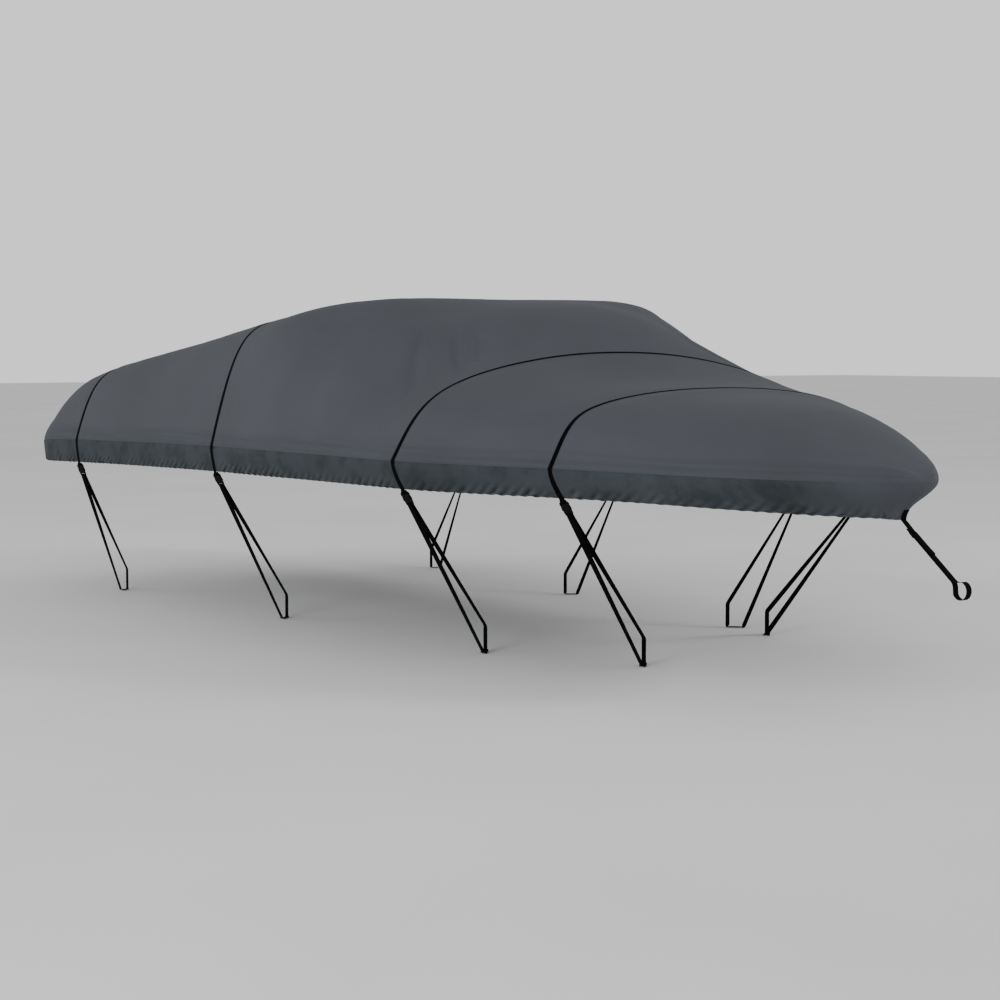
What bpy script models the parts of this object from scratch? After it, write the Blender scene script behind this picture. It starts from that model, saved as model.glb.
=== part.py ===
"""Fitted cover for a 4.95 m open runabout, as it lies when strapped down.

Metres, +Z up, +X towards the bow, +Y to port. The shape is worked out from the transom (x = 0) and from the
gunwale seam at mid length (z = 0). At the end it is shifted so that the origin lies under the top of the
cover, on the centre line of the ridge.
"""
import math
from collections import namedtuple

import bmesh
import bpy
from mathutils import Vector

# --- driving dimensions -------------------------------------------------------------------------------------
LENGTH = 4.95              # transom edge to nose, along the gunwale seam's centre line
CLOTH_THICK = 0.002
SEAM_GAP = 0.0004          # between pieces that are sewn or clipped to each other
SHEER_DIP = 0.166          # the gunwale's ends lie a quarter of this below its middle

# Half sections of the top cloth. inset and shoulder place the corner that the side panel leans to, crown is
# the height on the centre line, tightness says how closely the cloth follows that corner, and level how far
# out the crown stays level, as a share of the corner's half width.
SECTION_COLUMNS = ("x", "half_beam", "inset", "shoulder", "crown", "tightness", "level")
SECTIONS = (
    (0.00, 0.975, 0.025, 0.015, 0.020, 2.0, 0.42),
    (0.10, 1.042, 0.042, 0.070, 0.135, 6.0, 0.42),
    (0.30, 1.100, 0.115, 0.305, 0.270, 5.0, 0.45),
    (0.66, 1.115, 0.106, 0.372, 0.353, 7.3, 0.45),
    (1.31, 1.120, 0.170, 0.458, 0.458, 7.4, 0.45),
    (2.05, 1.105, 0.140, 0.551, 0.527, 8.0, 0.53),
    (2.50, 1.105, 0.135, 0.584, 0.605, 5.8, 0.57),
    (2.68, 1.095, 0.245, 0.618, 0.605, 2.6, 0.53),
    (2.82, 1.090, 0.171, 0.490, 0.598, 3.0, 0.40),
    (3.05, 1.075, 0.180, 0.345, 0.568, 2.0, 0.38),
    (3.42, 1.030, 0.100, 0.283, 0.353, 3.3, 0.31),
    (4.01, 0.745, 0.029, 0.212, 0.265, 2.7, 0.35),
    (4.45, 0.515, 0.058, 0.139, 0.216, 2.6, 0.38),
    (4.75, 0.285, 0.049, 0.100, 0.112, 1.7, 0.41),
    (4.95, 0.000, 0.000, 0.000, 0.000, 2.0, 0.42),
)

SKIRT_DROP = 0.105         # height of the band below the gunwale seam
BOW_DROP = 0.020           # extra height at the stem
# How far the hem is drawn in: at the transom, what is added along the sides, and round the nose.
TRANSOM_TUCK = 0.012
SIDE_TUCK, SIDE_FROM, SIDE_TO = 0.034, 0.30, 0.75
BOW_TUCK, BOW_FROM, BOW_TO = 0.066, 0.84, 0.98
END_SHARE = 0.68           # part of the drawing in that is left on the centre line, so the nose stays pointed

RIDGE_X = 2.50             # station of the ridge, where the cover is highest

STRAP_STATIONS = (0.67, 2.03, 3.35, 3.95)
WEB_WIDTH = 0.025
WEB_THICK = 0.0016
WEB_OFFSET = 0.0006        # webbing's back to the cloth
STRAP_MARGIN = 0.0035      # flat cloth kept beside each strap

STRAP_TAIL = 0.010         # webbing below the hem, above the buckle
BUCKLE_WIDTH = 0.038
BUCKLE_LENGTH = 0.034
BUCKLE_THICK = 0.009
PRONG_WIDTH = 0.034
PRONG_LENGTH = 0.020
PRONG_THICK = 0.007
MOULD_BEVEL = 0.0015

# Lower ends of the loop straps, where each goes round a frame rail: station and outboard face of the rail on
# both sides, and how far the inboard leg stands aft of the outboard one.
Loop = namedtuple("Loop", ("strap", "side", "x", "rail_y", "lean"))
LOOPS = (
    Loop(1, -1, 0.67, 0.902, 0.020),
    Loop(1, +1, 0.67, 0.902, 0.020),
    Loop(2, -1, 2.03, 0.780, 0.036),
    Loop(2, +1, 2.03, 0.780, 0.036),
    Loop(3, -1, 3.35, 0.645, 0.050),
    Loop(3, +1, 3.35, 0.645, 0.050),
    Loop(4, -1, 3.95, 0.362, 0.045),
    Loop(4, +1, 3.54, 0.605, -0.045),
)
RAIL_WIDTH = 0.042
RAIL_TOP = -0.645
RAIL_BOTTOM = -0.740
LEG_SPREAD = 0.008         # between the two legs at the buckle

BOW_TAB_TOP = 0.036        # how far up the band the tab is sewn
BOW_TAB_END = (4.915, -0.2025)
BOW_PULL_END = (5.110, -0.355)
ADJUSTER_LENGTH = 0.030
ADJUSTER_WIDTH = 0.034
ADJUSTER_THICK = 0.006
POST_RADIUS = 0.030
POST_DEPTH = 0.036         # from the end of the straight pull to the middle of the post
POST_WRAP = 115            # degrees of the post's round that the strap covers, to each side of its far point
POST_STEPS = 10

ROWS = 34                  # sections along the cover
HALF_COLUMNS = 15          # steps from gunwale to crown
CLEAR_OF_STRAP = 0.030     # no plain section this close to a strap's own

MERGE_DIST = 0.00001       # grid points this close are one point
MITRE_LIMIT = 0.3          # smallest cosine by which a corner of webbing is drawn out
SIDEWAYS_NORMAL = 0.3      # a seam point counts to a side when its normal leans this far that way
SIDE_NAMES = {-1: "starboard", 1: "port"}


# --- materials ----------------------------------------------------------------------------------------------
def principled(name, colour, roughness):
    material = bpy.data.materials.new(name)
    material.use_nodes = True
    shader = material.node_tree.nodes["Principled BSDF"]
    shader.inputs["Base Color"].default_value = (*colour, 1.0)
    shader.inputs["Roughness"].default_value = roughness
    shader.inputs["Metallic"].default_value = 0.0
    return material


# --- the surface of the cover -------------------------------------------------------------------------------
def station_angle(x):
    """Angle that runs from 0 at the transom to pi at the nose and rounds both ends of every column."""
    return math.acos(max(-1.0, min(1.0, 1.0 - 2.0 * x / LENGTH)))


ANGLES = [station_angle(row[0]) for row in SECTIONS]


def column_slopes(values):
    """Three-point slopes of one column against the station angle."""
    steps = [b - a for a, b in zip(ANGLES, ANGLES[1:])]
    rises = [(b - a) / h for a, b, h in zip(values, values[1:], steps)]
    inner = [(r0 * h1 + r1 * h0) / (h0 + h1) for r0, r1, h0, h1 in zip(rises, rises[1:], steps, steps[1:])]
    return [rises[0], *inner, rises[-1]]


COLUMNS = {name: [row[k] for row in SECTIONS] for k, name in enumerate(SECTION_COLUMNS)}
SLOPES = {name: column_slopes(values) for name, values in COLUMNS.items()}


def section_value(name, x):
    """Smooth cubic through one column of the section table."""
    angle = station_angle(x)
    values, slopes = COLUMNS[name], SLOPES[name]
    k = max(i for i in range(len(ANGLES) - 1) if ANGLES[i] <= angle)
    h = ANGLES[k + 1] - ANGLES[k]
    t = (angle - ANGLES[k]) / h
    return ((1 + 2 * t) * (1 - t) ** 2 * values[k] + t * (1 - t) ** 2 * h * slopes[k]
            + t * t * (3 - 2 * t) * values[k + 1] + t * t * (t - 1) * h * slopes[k + 1])


def sheer(x):
    return -SHEER_DIP * (x / LENGTH - 0.5) ** 2


def smooth_step(value, low, high):
    t = max(0.0, min(1.0, (value - low) / (high - low)))
    return t * t * (3 - 2 * t)


def top_point(x, across):
    """Point on the top cloth. across runs from -1 on the starboard gunwale over 0 to 1 on the port gunwale."""
    beam, inset, shoulder, crown, tight, level = (section_value(name, x) for name in SECTION_COLUMNS[1:])
    t = 1.0 - abs(across)
    weights = ((1 - t) ** 3, 3 * t * (1 - t) ** 2 * tight, 3 * t * t * (1 - t) * tight, t ** 3)
    corner = beam - inset
    y = (weights[0] * beam + weights[1] * corner + weights[2] * level * corner) / sum(weights)
    z = (weights[1] * shoulder + (weights[2] + weights[3]) * crown) / sum(weights)
    return Vector((x, math.copysign(y, across), z + sheer(x)))


def hem_drop(x):
    return SKIRT_DROP + BOW_DROP * smooth_step(x / LENGTH, BOW_FROM, BOW_TO)


def hem_tuck(x):
    share = x / LENGTH
    sides = SIDE_TUCK * smooth_step(share, SIDE_FROM, SIDE_TO)
    return TRANSOM_TUCK + sides + BOW_TUCK * smooth_step(share, BOW_FROM, BOW_TO)


# The band turns under the gunwale a little rounded: share of the drop, share of the tuck along the sides and
# share of the tuck at the stem, where it hangs straight at the top and again at the hem.
SKIRT_LINES = ((0.0, 0.0, 0.0), (0.35, 0.20, 0.26), (0.70, 0.58, 0.80), (1.0, 1.0, 1.0))


# --- sections and outline -----------------------------------------------------------------------------------
def section_stations():
    """Stations of the mesh rows: closer at both ends, one pair at each strap and one on the ridge."""
    strap_half = WEB_WIDTH / 2 + STRAP_MARGIN
    own = sorted([s + d for s in STRAP_STATIONS for d in (-strap_half, strap_half)] + [RIDGE_X])
    plain = [LENGTH * (1 - math.cos(math.pi * k / ROWS)) / 2 for k in range(ROWS + 1)]
    plain = [x for x in plain if min(abs(x - o) for o in own) > CLEAR_OF_STRAP]
    return sorted(plain + own)


STATIONS = section_stations()
ACROSS = [k / HALF_COLUMNS for k in range(-HALF_COLUMNS, HALF_COLUMNS + 1)]
TOP_GRID = [[top_point(x, a) for a in ACROSS] for x in STATIONS]


def plan_normals(loop):
    """Outward unit normals, in plan, of a closed outline that runs anticlockwise."""
    normals = []
    for before, after in zip(loop[-1:] + loop[:-1], loop[1:] + loop[:1]):
        run = after - before
        normals.append(Vector((run.y, -run.x, 0.0)).normalized())
    return normals


def seam_outline():
    """Gunwale seam as one loop: starboard side forward, round the nose, port side aft, across the transom."""
    starboard = [row[0] for row in TOP_GRID]
    port = [row[-1] for row in reversed(TOP_GRID[:-1])]
    transom = list(reversed(TOP_GRID[0][1:-1]))
    return starboard + port + transom


def draw_in(normal):
    """How the hem moves for each metre it is drawn in: square to the keel on the sides, along the outline's
    own normal at the transom and round the nose."""
    sideways = smooth_step(abs(normal.y), 0.5, 0.8)
    if sideways == 0.0:
        return -normal * (END_SHARE + (1 - END_SHARE) * smooth_step(abs(normal.y), 0.0, 0.5))
    return Vector((-normal.x * (1 - sideways), -normal.y - sideways * normal.x ** 2 / normal.y, 0.0))


SEAM = seam_outline()
SEAM_NORMALS = plan_normals(SEAM)


def band_point(k, line):
    """Point on the band below seam point k, on one of its lines from the seam down to the hem."""
    drop, side_tuck, bow_tuck = SKIRT_LINES[line]
    point = SEAM[k]
    down = SEAM_GAP + drop * (hem_drop(point.x) - SEAM_GAP)
    tuck = side_tuck + (bow_tuck - side_tuck) * smooth_step(point.x / LENGTH, BOW_FROM, BOW_TO)
    return point + draw_in(SEAM_NORMALS[k]) * (tuck * hem_tuck(point.x)) - Vector((0.0, 0.0, down))


# --- building solids ----------------------------------------------------------------------------------------
def add_object(name, bm, material):
    if bm.calc_volume(signed=True) < 0:
        bmesh.ops.reverse_faces(bm, faces=bm.faces[:])
    mesh = bpy.data.meshes.new(name)
    bm.to_mesh(mesh)
    bm.free()
    mesh.materials.append(material)
    mesh.shade_smooth()
    mesh.set_sharp_from_angle(angle=math.radians(35))
    obj = bpy.data.objects.new(name, mesh)
    bpy.context.scene.collection.objects.link(obj)
    return obj


def sheet_solid(name, front, back, material, wrap=False):
    """Closed sheet between two grids of points with the same rows and columns. With wrap the rows close up."""
    rows, cols = len(front), len(front[0])
    bm = bmesh.new()
    bmesh.ops.create_grid(bm, x_segments=cols - 1, y_segments=(rows if wrap else rows - 1), size=1.0)
    layer = bm.verts.layers.int.new("point")
    for k, vert in enumerate(bm.verts):
        vert[layer] = (k // cols % rows) * cols + k % cols
    for vert in bm.verts:
        vert.co = front[vert[layer] // cols][vert[layer] % cols]
    bmesh.ops.remove_doubles(bm, verts=bm.verts, dist=MERGE_DIST)
    extruded = bmesh.ops.extrude_face_region(bm, geom=bm.faces[:])
    for item in extruded["geom"]:
        if isinstance(item, bmesh.types.BMVert):
            item.co = back[item[layer] // cols][item[layer] % cols]
    bmesh.ops.triangulate(bm, faces=[f for f in bm.faces if len(f.verts) > 4])
    return add_object(name, bm, material)


def grid_normals(grid):
    """Unit normals of a grid of points, pointing up and out of the cover."""
    normals = []
    for i, row in enumerate(grid):
        line = []
        for j in range(len(row)):
            along = grid[min(i + 1, len(grid) - 1)][j] - grid[max(i - 1, 0)][j]
            over = row[min(j + 1, len(row) - 1)] - row[max(j - 1, 0)]
            line.append(along.cross(over).normalized())
        normals.append(line)
    return normals


def build_top(material):
    normals = grid_normals(TOP_GRID)
    last_row, last_col = len(TOP_GRID) - 1, len(ACROSS) - 1
    inside = []
    for i, row in enumerate(TOP_GRID):
        line = []
        for j, point in enumerate(row):
            if i == last_row:
                line.append(point - Vector((CLOTH_THICK, 0.0, 0.0)))
            elif i == 0 or j in (0, last_col):
                flat = Vector((normals[i][j].x, normals[i][j].y, 0.0))
                line.append(point - flat.normalized() * CLOTH_THICK)
            else:
                line.append(point - normals[i][j] * CLOTH_THICK)
        inside.append(line)
    return sheet_solid("top_cloth", TOP_GRID, inside, material)


def build_skirt(material):
    lines = range(len(SKIRT_LINES))
    outside = [[band_point(k, line) for line in lines] for k in range(len(SEAM))]
    inside = [[point - SEAM_NORMALS[k] * CLOTH_THICK for point in row] for k, row in enumerate(outside)]
    return sheet_solid("skirt_cloth", outside, inside, material, wrap=True)


def offset_path(path, distance):
    """Moves a path in a plane of constant x to its left by distance, keeping its runs parallel."""
    moved = []
    for k, point in enumerate(path):
        runs = [path[k] - path[k - 1]] if k else []
        runs += [path[k + 1] - path[k]] if k + 1 < len(path) else []
        sides = [Vector((0.0, -run.z, run.y)).normalized() for run in runs]
        middle = sum(sides, Vector()).normalized()
        moved.append(point + middle * (distance / max(MITRE_LIMIT, middle.dot(sides[0]))))
    return moved


def pull_direction(strap, side):
    """Unit vector, in the strap's plane, from the hem to the foot of its loop."""
    foot = next(loop for loop in LOOPS if (loop.strap, loop.side) == (strap, side))
    hem = band_point(nearest_seam_point(STRAP_STATIONS[strap - 1], side), -1)
    return Vector((0.0, side * (foot.rail_y - RAIL_WIDTH / 2) - hem.y, RAIL_BOTTOM - hem.z)).normalized()


def nearest_seam_point(x, side):
    marks = [k for k, p in enumerate(SEAM) if p.y * side > 0 and SEAM_NORMALS[k].y * side > SIDEWAYS_NORMAL]
    return min(marks, key=lambda k: abs(SEAM[k].x - x))


def strap_line(strap, station):
    """Path of a strap over the mesh row at this station, starboard tail to port tail."""
    row = TOP_GRID[STATIONS.index(station)]
    ends = {}
    for side in (-1, 1):
        k = nearest_seam_point(station, side)
        ends[side] = [band_point(k, line) for line in range(1, len(SKIRT_LINES))]
    return list(reversed(ends[-1])) + row + ends[1]


def strap_edges(strap):
    """The two mesh rows beside a strap, and the shares at which the strap's edges lie between them."""
    x = STRAP_STATIONS[strap - 1]
    half = WEB_WIDTH / 2 + STRAP_MARGIN
    rows = [min(STATIONS, key=lambda s: abs(s - (x + d))) for d in (-half, half)]
    margin = STRAP_MARGIN / (2 * half)
    return rows, (margin, 1 - margin)


def strap_sheets(strap):
    """Back and front points of a cross strap, two columns wide, its tails cut square to the pull."""
    rows, shares = strap_edges(strap)
    lines = [strap_line(strap, station) for station in rows]
    sheets = []
    for distance in (WEB_OFFSET, WEB_OFFSET + WEB_THICK):
        moved = [offset_path(line, distance) for line in lines]
        sheets.append([[a.lerp(b, share) for share in shares] for a, b in zip(*moved)])
    for end, side in ((0, -1), (-1, 1)):
        pull = pull_direction(strap, side)
        reach = max(point.dot(pull) for sheet in sheets for point in sheet[end]) + STRAP_TAIL
        tails = [[point + pull * (reach - point.dot(pull)) for point in sheet[end]] for sheet in sheets]
        for sheet, tail in zip(sheets, tails):
            sheet.insert(0 if end == 0 else len(sheet), tail)
    return sheets


def build_cross_strap(strap, material):
    back, front = strap_sheets(strap)
    return sheet_solid(f"cross_strap_{strap}", front, back, material)


def tail_middle(strap, side):
    end = 0 if side < 0 else -1
    corners = [point for sheet in strap_sheets(strap) for point in sheet[end]]
    return sum(corners, Vector()) / len(corners)


def moulded_block(name, top, down, across, size, material):
    """Bevelled block of size (width, thickness, length) that hangs from top in the direction down."""
    width, thick, length = size
    bm = bmesh.new()
    bmesh.ops.create_cube(bm, size=1.0)
    outward = down.cross(across).normalized()
    middle = top + down * (length / 2)
    for vert in bm.verts:
        local = vert.co.copy()
        vert.co = middle + across * (local.x * width) + outward * (local.y * thick) + down * (local.z * length)
    bm.normal_update()
    bmesh.ops.bevel(bm, geom=bm.edges[:], offset=MOULD_BEVEL, segments=1, affect="EDGES", profile=0.5)
    return add_object(name, bm, material)


def buckle_axis(strap, side):
    """Top of the buckle, the direction it hangs in, and the direction across it."""
    down = pull_direction(strap, side)
    return tail_middle(strap, side) + down * SEAM_GAP, down, Vector((1.0, 0.0, 0.0))


def build_buckle(strap, side, material):
    top, down, across = buckle_axis(strap, side)
    name = f"{strap}_{SIDE_NAMES[side]}"
    body = (BUCKLE_WIDTH, BUCKLE_THICK, BUCKLE_LENGTH)
    prong = (PRONG_WIDTH, PRONG_THICK, PRONG_LENGTH)
    moulded_block(f"buckle_{name}", top, down, across, body, material)
    prong_top = top + down * (BUCKLE_LENGTH + SEAM_GAP)
    moulded_block(f"prong_{name}", prong_top, down, across, prong, material)


def band_solid(name, path, across, material):
    """Closed loop of webbing through a path of points; each run keeps its distance from the one before."""
    outer, inner = [], []
    for k, point in enumerate(path):
        before = (point - path[k - 1]).normalized()
        after = (path[(k + 1) % len(path)] - point).normalized()
        sides = [run.cross(across).normalized() for run in (before, after)]
        middle = (sides[0] + sides[1]).normalized()
        reach = WEB_THICK / 2 / max(MITRE_LIMIT, middle.dot(sides[0]))
        edges = (-across * (WEB_WIDTH / 2), across * (WEB_WIDTH / 2))
        outer.append([point + middle * reach + edge for edge in edges])
        inner.append([point - middle * reach + edge for edge in edges])
    return sheet_solid(name, outer, inner, material, wrap=True)


def build_loop(loop, material):
    top, down, across = buckle_axis(loop.strap, loop.side)
    start = top + down * (BUCKLE_LENGTH + PRONG_LENGTH + 2 * SEAM_GAP + WEB_THICK / 2)
    outboard = across.cross(down) * loop.side
    outer_face, inner_face = loop.side * loop.rail_y, loop.side * (loop.rail_y - RAIL_WIDTH)
    path = [
        start + outboard * (LEG_SPREAD / 2),
        start - outboard * (LEG_SPREAD / 2),
        Vector((loop.x - loop.lean, inner_face, RAIL_TOP)),
        Vector((loop.x - loop.lean, inner_face, RAIL_BOTTOM)),
        Vector((loop.x, outer_face, RAIL_BOTTOM)),
    ]
    return band_solid(f"loop_strap_{loop.strap}_{SIDE_NAMES[loop.side]}", path, across, material)


# --- bow fastening ------------------------------------------------------------------------------------------
def build_bow(web_material, mould_material):
    nose = min(range(len(SEAM)), key=lambda k: (SEAM[k] - Vector((LENGTH, 0.0, SEAM[k].z))).length)
    across = Vector((0.0, 1.0, 0.0))
    hem, middle = band_point(nose, -1), band_point(nose, -2)
    run = (middle - hem).normalized()
    tab_end = Vector((BOW_TAB_END[0], 0.0, BOW_TAB_END[1]))
    forward = Vector((WEB_OFFSET + SEAM_GAP, 0.0, 0.0))
    path = [hem + run * BOW_TAB_TOP + forward, hem + forward, tab_end]
    strip_solid("bow_tab", path, across, web_material)

    pull_end = Vector((BOW_PULL_END[0], 0.0, BOW_PULL_END[1]))
    down = (pull_end - tab_end).normalized()
    top = tab_end + down * SEAM_GAP
    size = (ADJUSTER_WIDTH, ADJUSTER_THICK, ADJUSTER_LENGTH)
    moulded_block("bow_adjuster", top, down, across, size, mould_material)

    start = top + down * (ADJUSTER_LENGTH + SEAM_GAP + WEB_THICK / 2)
    upper = down.cross(across).normalized()
    centre = pull_end + down * POST_DEPTH
    spread = upper * (LEG_SPREAD / 4)
    path = [start + spread, start - spread, pull_end - spread]
    for k in range(POST_STEPS + 1):
        angle = math.radians(POST_WRAP * (2 * k / POST_STEPS - 1))
        path.append(centre + (down * math.cos(angle) + upper * math.sin(angle)) * POST_RADIUS)
    path.append(pull_end + spread)
    band_solid("bow_strap", path, across, web_material)


def strip_solid(name, path, across, material):
    """Open strip of webbing along a path, its back on the path."""
    front = []
    for k, point in enumerate(path):
        run = (path[min(k + 1, len(path) - 1)] - path[max(k - 1, 0)]).normalized()
        front.append(point + across.cross(run).normalized() * -WEB_THICK)
    edges = (-across * (WEB_WIDTH / 2), across * (WEB_WIDTH / 2))
    grids = [[[point + edge for edge in edges] for point in line] for line in (front, path)]
    return sheet_solid(name, grids[0], grids[1], material)


# --- the whole cover ----------------------------------------------------------------------------------------
def move_to_origin():
    """Puts the origin on the underside of the top cloth, at the middle of the ridge."""
    ridge = top_point(RIDGE_X, 0.0) - Vector((0.0, 0.0, CLOTH_THICK))
    for obj in bpy.context.scene.objects:
        for vert in obj.data.vertices:
            vert.co -= ridge
    print("origin, from the transom and the gunwale:", [round(v, 4) for v in ridge])


def main():
    for obj in list(bpy.data.objects):
        bpy.data.objects.remove(obj, do_unlink=True)
    top_fabric = principled("grey_woven_polyester", (0.080, 0.087, 0.098), 0.85)
    band_fabric = principled("dark_woven_polyester", (0.038, 0.048, 0.055), 0.85)
    webbing = principled("black_webbing", (0.004, 0.004, 0.005), 0.70)
    moulding = principled("black_moulded_nylon", (0.006, 0.006, 0.007), 0.45)
    build_top(top_fabric)
    build_skirt(band_fabric)
    for strap in range(1, len(STRAP_STATIONS) + 1):
        build_cross_strap(strap, webbing)
    for loop in LOOPS:
        build_buckle(loop.strap, loop.side, moulding)
        build_loop(loop, webbing)
    build_bow(webbing, moulding)
    move_to_origin()


main()
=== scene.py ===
# %% [markdown]
# # A fitted boat cover
#
# A fitted cover is cut from one kind of woven polyester. The top is cut to the plan of the whole, with
# enough height sewn in for its raised middle. A band is sewn to it along the edge, turns down and in,
# and ends in a hem that an elastic cord gathers. Black webbing crosses the cloth, and buckles below the
# hem join it to loops that pull it down.
#
# The frame gives every piece as a plain solid in its right place. Each cell below replaces some of them
# with a piece that has folds, weave and moulded detail, and keeps within about 15 mm of the solid it
# stands for.

# %% Load the frame
import math
from collections import namedtuple

import bmesh
import bpy
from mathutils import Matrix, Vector, noise


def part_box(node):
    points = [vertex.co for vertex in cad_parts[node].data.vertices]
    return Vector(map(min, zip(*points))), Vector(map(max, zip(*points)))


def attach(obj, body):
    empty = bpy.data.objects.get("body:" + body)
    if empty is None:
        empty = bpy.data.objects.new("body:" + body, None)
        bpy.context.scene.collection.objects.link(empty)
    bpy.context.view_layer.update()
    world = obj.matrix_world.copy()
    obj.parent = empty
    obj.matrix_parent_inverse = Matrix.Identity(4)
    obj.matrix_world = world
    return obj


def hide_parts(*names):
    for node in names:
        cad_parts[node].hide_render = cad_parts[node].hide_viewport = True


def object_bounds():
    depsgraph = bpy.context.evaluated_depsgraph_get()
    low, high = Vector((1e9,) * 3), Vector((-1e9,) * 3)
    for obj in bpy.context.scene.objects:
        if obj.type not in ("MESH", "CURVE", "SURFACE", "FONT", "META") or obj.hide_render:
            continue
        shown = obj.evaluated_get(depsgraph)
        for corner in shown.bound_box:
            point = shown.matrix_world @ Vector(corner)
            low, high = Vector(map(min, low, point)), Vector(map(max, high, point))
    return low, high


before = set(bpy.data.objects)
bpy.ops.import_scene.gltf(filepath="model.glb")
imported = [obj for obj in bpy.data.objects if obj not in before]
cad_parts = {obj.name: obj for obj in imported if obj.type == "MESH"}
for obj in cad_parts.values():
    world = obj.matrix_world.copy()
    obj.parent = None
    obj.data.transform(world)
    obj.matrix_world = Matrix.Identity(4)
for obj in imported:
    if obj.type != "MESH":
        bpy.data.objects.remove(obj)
cad_low, cad_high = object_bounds()
print("frame box", [round(v, 3) for v in (*cad_low, *cad_high)])

# %% [markdown]
# ## Camera
#
# The camera stands ahead of the starboard bow, a little above the edge. Its place and lens come from
# solving the perspective of the outline and of the four straps, so the cover keeps its drawing when the
# picture is square.

# %% Camera
CAMERA_PLACE = Vector((7.274, -5.015, -0.204))
CAMERA_AZIMUTH = math.radians(55.321)
CAMERA_TILT = math.radians(4.143)
SENSOR_WIDTH, LENS = 36.0, 75.02     # millimetres
FARTHEST_SEEN = 200.0

camera_data = bpy.data.cameras.new("camera")
camera_data.sensor_width = SENSOR_WIDTH
camera_data.lens = LENS
camera_data.clip_end = FARTHEST_SEEN
camera = bpy.data.objects.new("camera", camera_data)
camera.location = CAMERA_PLACE
camera.rotation_euler = (math.radians(90) - CAMERA_TILT, 0.0, CAMERA_AZIMUTH)
bpy.context.scene.collection.objects.link(camera)
bpy.context.scene.camera = camera

# %% [markdown]
# ## The surface of the cover
#
# Cloth pulled tight has a shape that is easy to describe: at each station along the cover, a half
# section that rises from the edge, leans in to a shoulder and levels out at the crown. A short table
# holds a few stations, and a smooth cubic joins them. The same table gave the solids their shape, so
# what is built on it here lies where they lie. x runs from the stern and z from the edge at mid length,
# until ORIGIN is taken off.

# %% Section table
LENGTH = 4.95
SHEER_DIP = 0.166
SECTION_COLUMNS = ("x", "half_beam", "inset", "shoulder", "crown", "tightness", "level")
SECTIONS = (
    (0.00, 0.975, 0.025, 0.015, 0.020, 2.0, 0.42),
    (0.10, 1.042, 0.042, 0.070, 0.135, 6.0, 0.42),
    (0.30, 1.100, 0.115, 0.305, 0.270, 5.0, 0.45),
    (0.66, 1.115, 0.106, 0.372, 0.353, 7.3, 0.45),
    (1.31, 1.120, 0.170, 0.458, 0.458, 7.4, 0.45),
    (2.05, 1.105, 0.140, 0.551, 0.527, 8.0, 0.53),
    (2.50, 1.105, 0.135, 0.584, 0.605, 5.8, 0.57),
    (2.68, 1.095, 0.245, 0.618, 0.605, 2.6, 0.53),
    (2.82, 1.090, 0.171, 0.490, 0.598, 3.0, 0.40),
    (3.05, 1.075, 0.180, 0.345, 0.568, 2.0, 0.38),
    (3.42, 1.030, 0.100, 0.283, 0.353, 3.3, 0.31),
    (4.01, 0.745, 0.029, 0.212, 0.265, 2.7, 0.35),
    (4.45, 0.515, 0.058, 0.139, 0.216, 2.6, 0.38),
    (4.75, 0.285, 0.049, 0.100, 0.112, 1.7, 0.41),
    (4.95, 0.000, 0.000, 0.000, 0.000, 2.0, 0.42),
)
Section = namedtuple("Section", SECTION_COLUMNS)


def station_angle(x):
    """Runs from 0 at the stern to pi at the nose, which rounds both ends of every column."""
    return math.acos(max(-1.0, min(1.0, 1.0 - 2.0 * x / LENGTH)))


ANGLES = [station_angle(row[0]) for row in SECTIONS]


def column_slopes(values):
    """Slope of one column of the table at each of its stations."""
    steps = [b - a for a, b in zip(ANGLES, ANGLES[1:])]
    rises = [(b - a) / h for a, b, h in zip(values, values[1:], steps)]
    inner = [(r0 * h1 + r1 * h0) / (h0 + h1) for r0, r1, h0, h1 in zip(rises, rises[1:], steps, steps[1:])]
    return [rises[0], *inner, rises[-1]]


COLUMNS = list(zip(*SECTIONS))
SLOPES = [column_slopes(values) for values in COLUMNS]


def section_at(x):
    """The half section at a station, from a smooth cubic through each column of the table."""
    angle = station_angle(x)
    k = max(i for i in range(len(ANGLES) - 1) if ANGLES[i] <= angle)
    h = ANGLES[k + 1] - ANGLES[k]
    t = (angle - ANGLES[k]) / h
    values = [
        (1 + 2 * t) * (1 - t) ** 2 * v[k] + t * (1 - t) ** 2 * h * s[k]
        + t * t * (3 - 2 * t) * v[k + 1] + t * t * (t - 1) * h * s[k + 1]
        for v, s in zip(COLUMNS, SLOPES)
    ]
    return Section(x, *values[1:])


def smooth_step(value, low, high):
    t = max(0.0, min(1.0, (value - low) / (high - low)))
    return t * t * (3 - 2 * t)


# %% Points on the top
RIDGE_X = 2.50
CLOTH_THICK = 0.002


def section_point(section, across):
    """Point of a section. across runs from -1 at the starboard edge over 0 to 1 at the port edge."""
    t = 1.0 - abs(across)
    tight = section.tightness
    weights = ((1 - t) ** 3, 3 * t * (1 - t) ** 2 * tight, 3 * t * t * (1 - t) * tight, t ** 3)
    corner = section.half_beam - section.inset
    y = (weights[0] * section.half_beam + weights[1] * corner
         + weights[2] * section.level * corner) / sum(weights)
    z = (weights[1] * section.shoulder + (weights[2] + weights[3]) * section.crown) / sum(weights)
    sheer = -SHEER_DIP * (section.x / LENGTH - 0.5) ** 2
    return Vector((section.x, math.copysign(y, across), z + sheer))


ORIGIN = section_point(section_at(RIDGE_X), 0.0) - Vector((0.0, 0.0, CLOTH_THICK))
print("origin from the stern and the edge", [round(v, 4) for v in ORIGIN])


def top_point(x, across):
    return section_point(section_at(x), across) - ORIGIN


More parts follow.
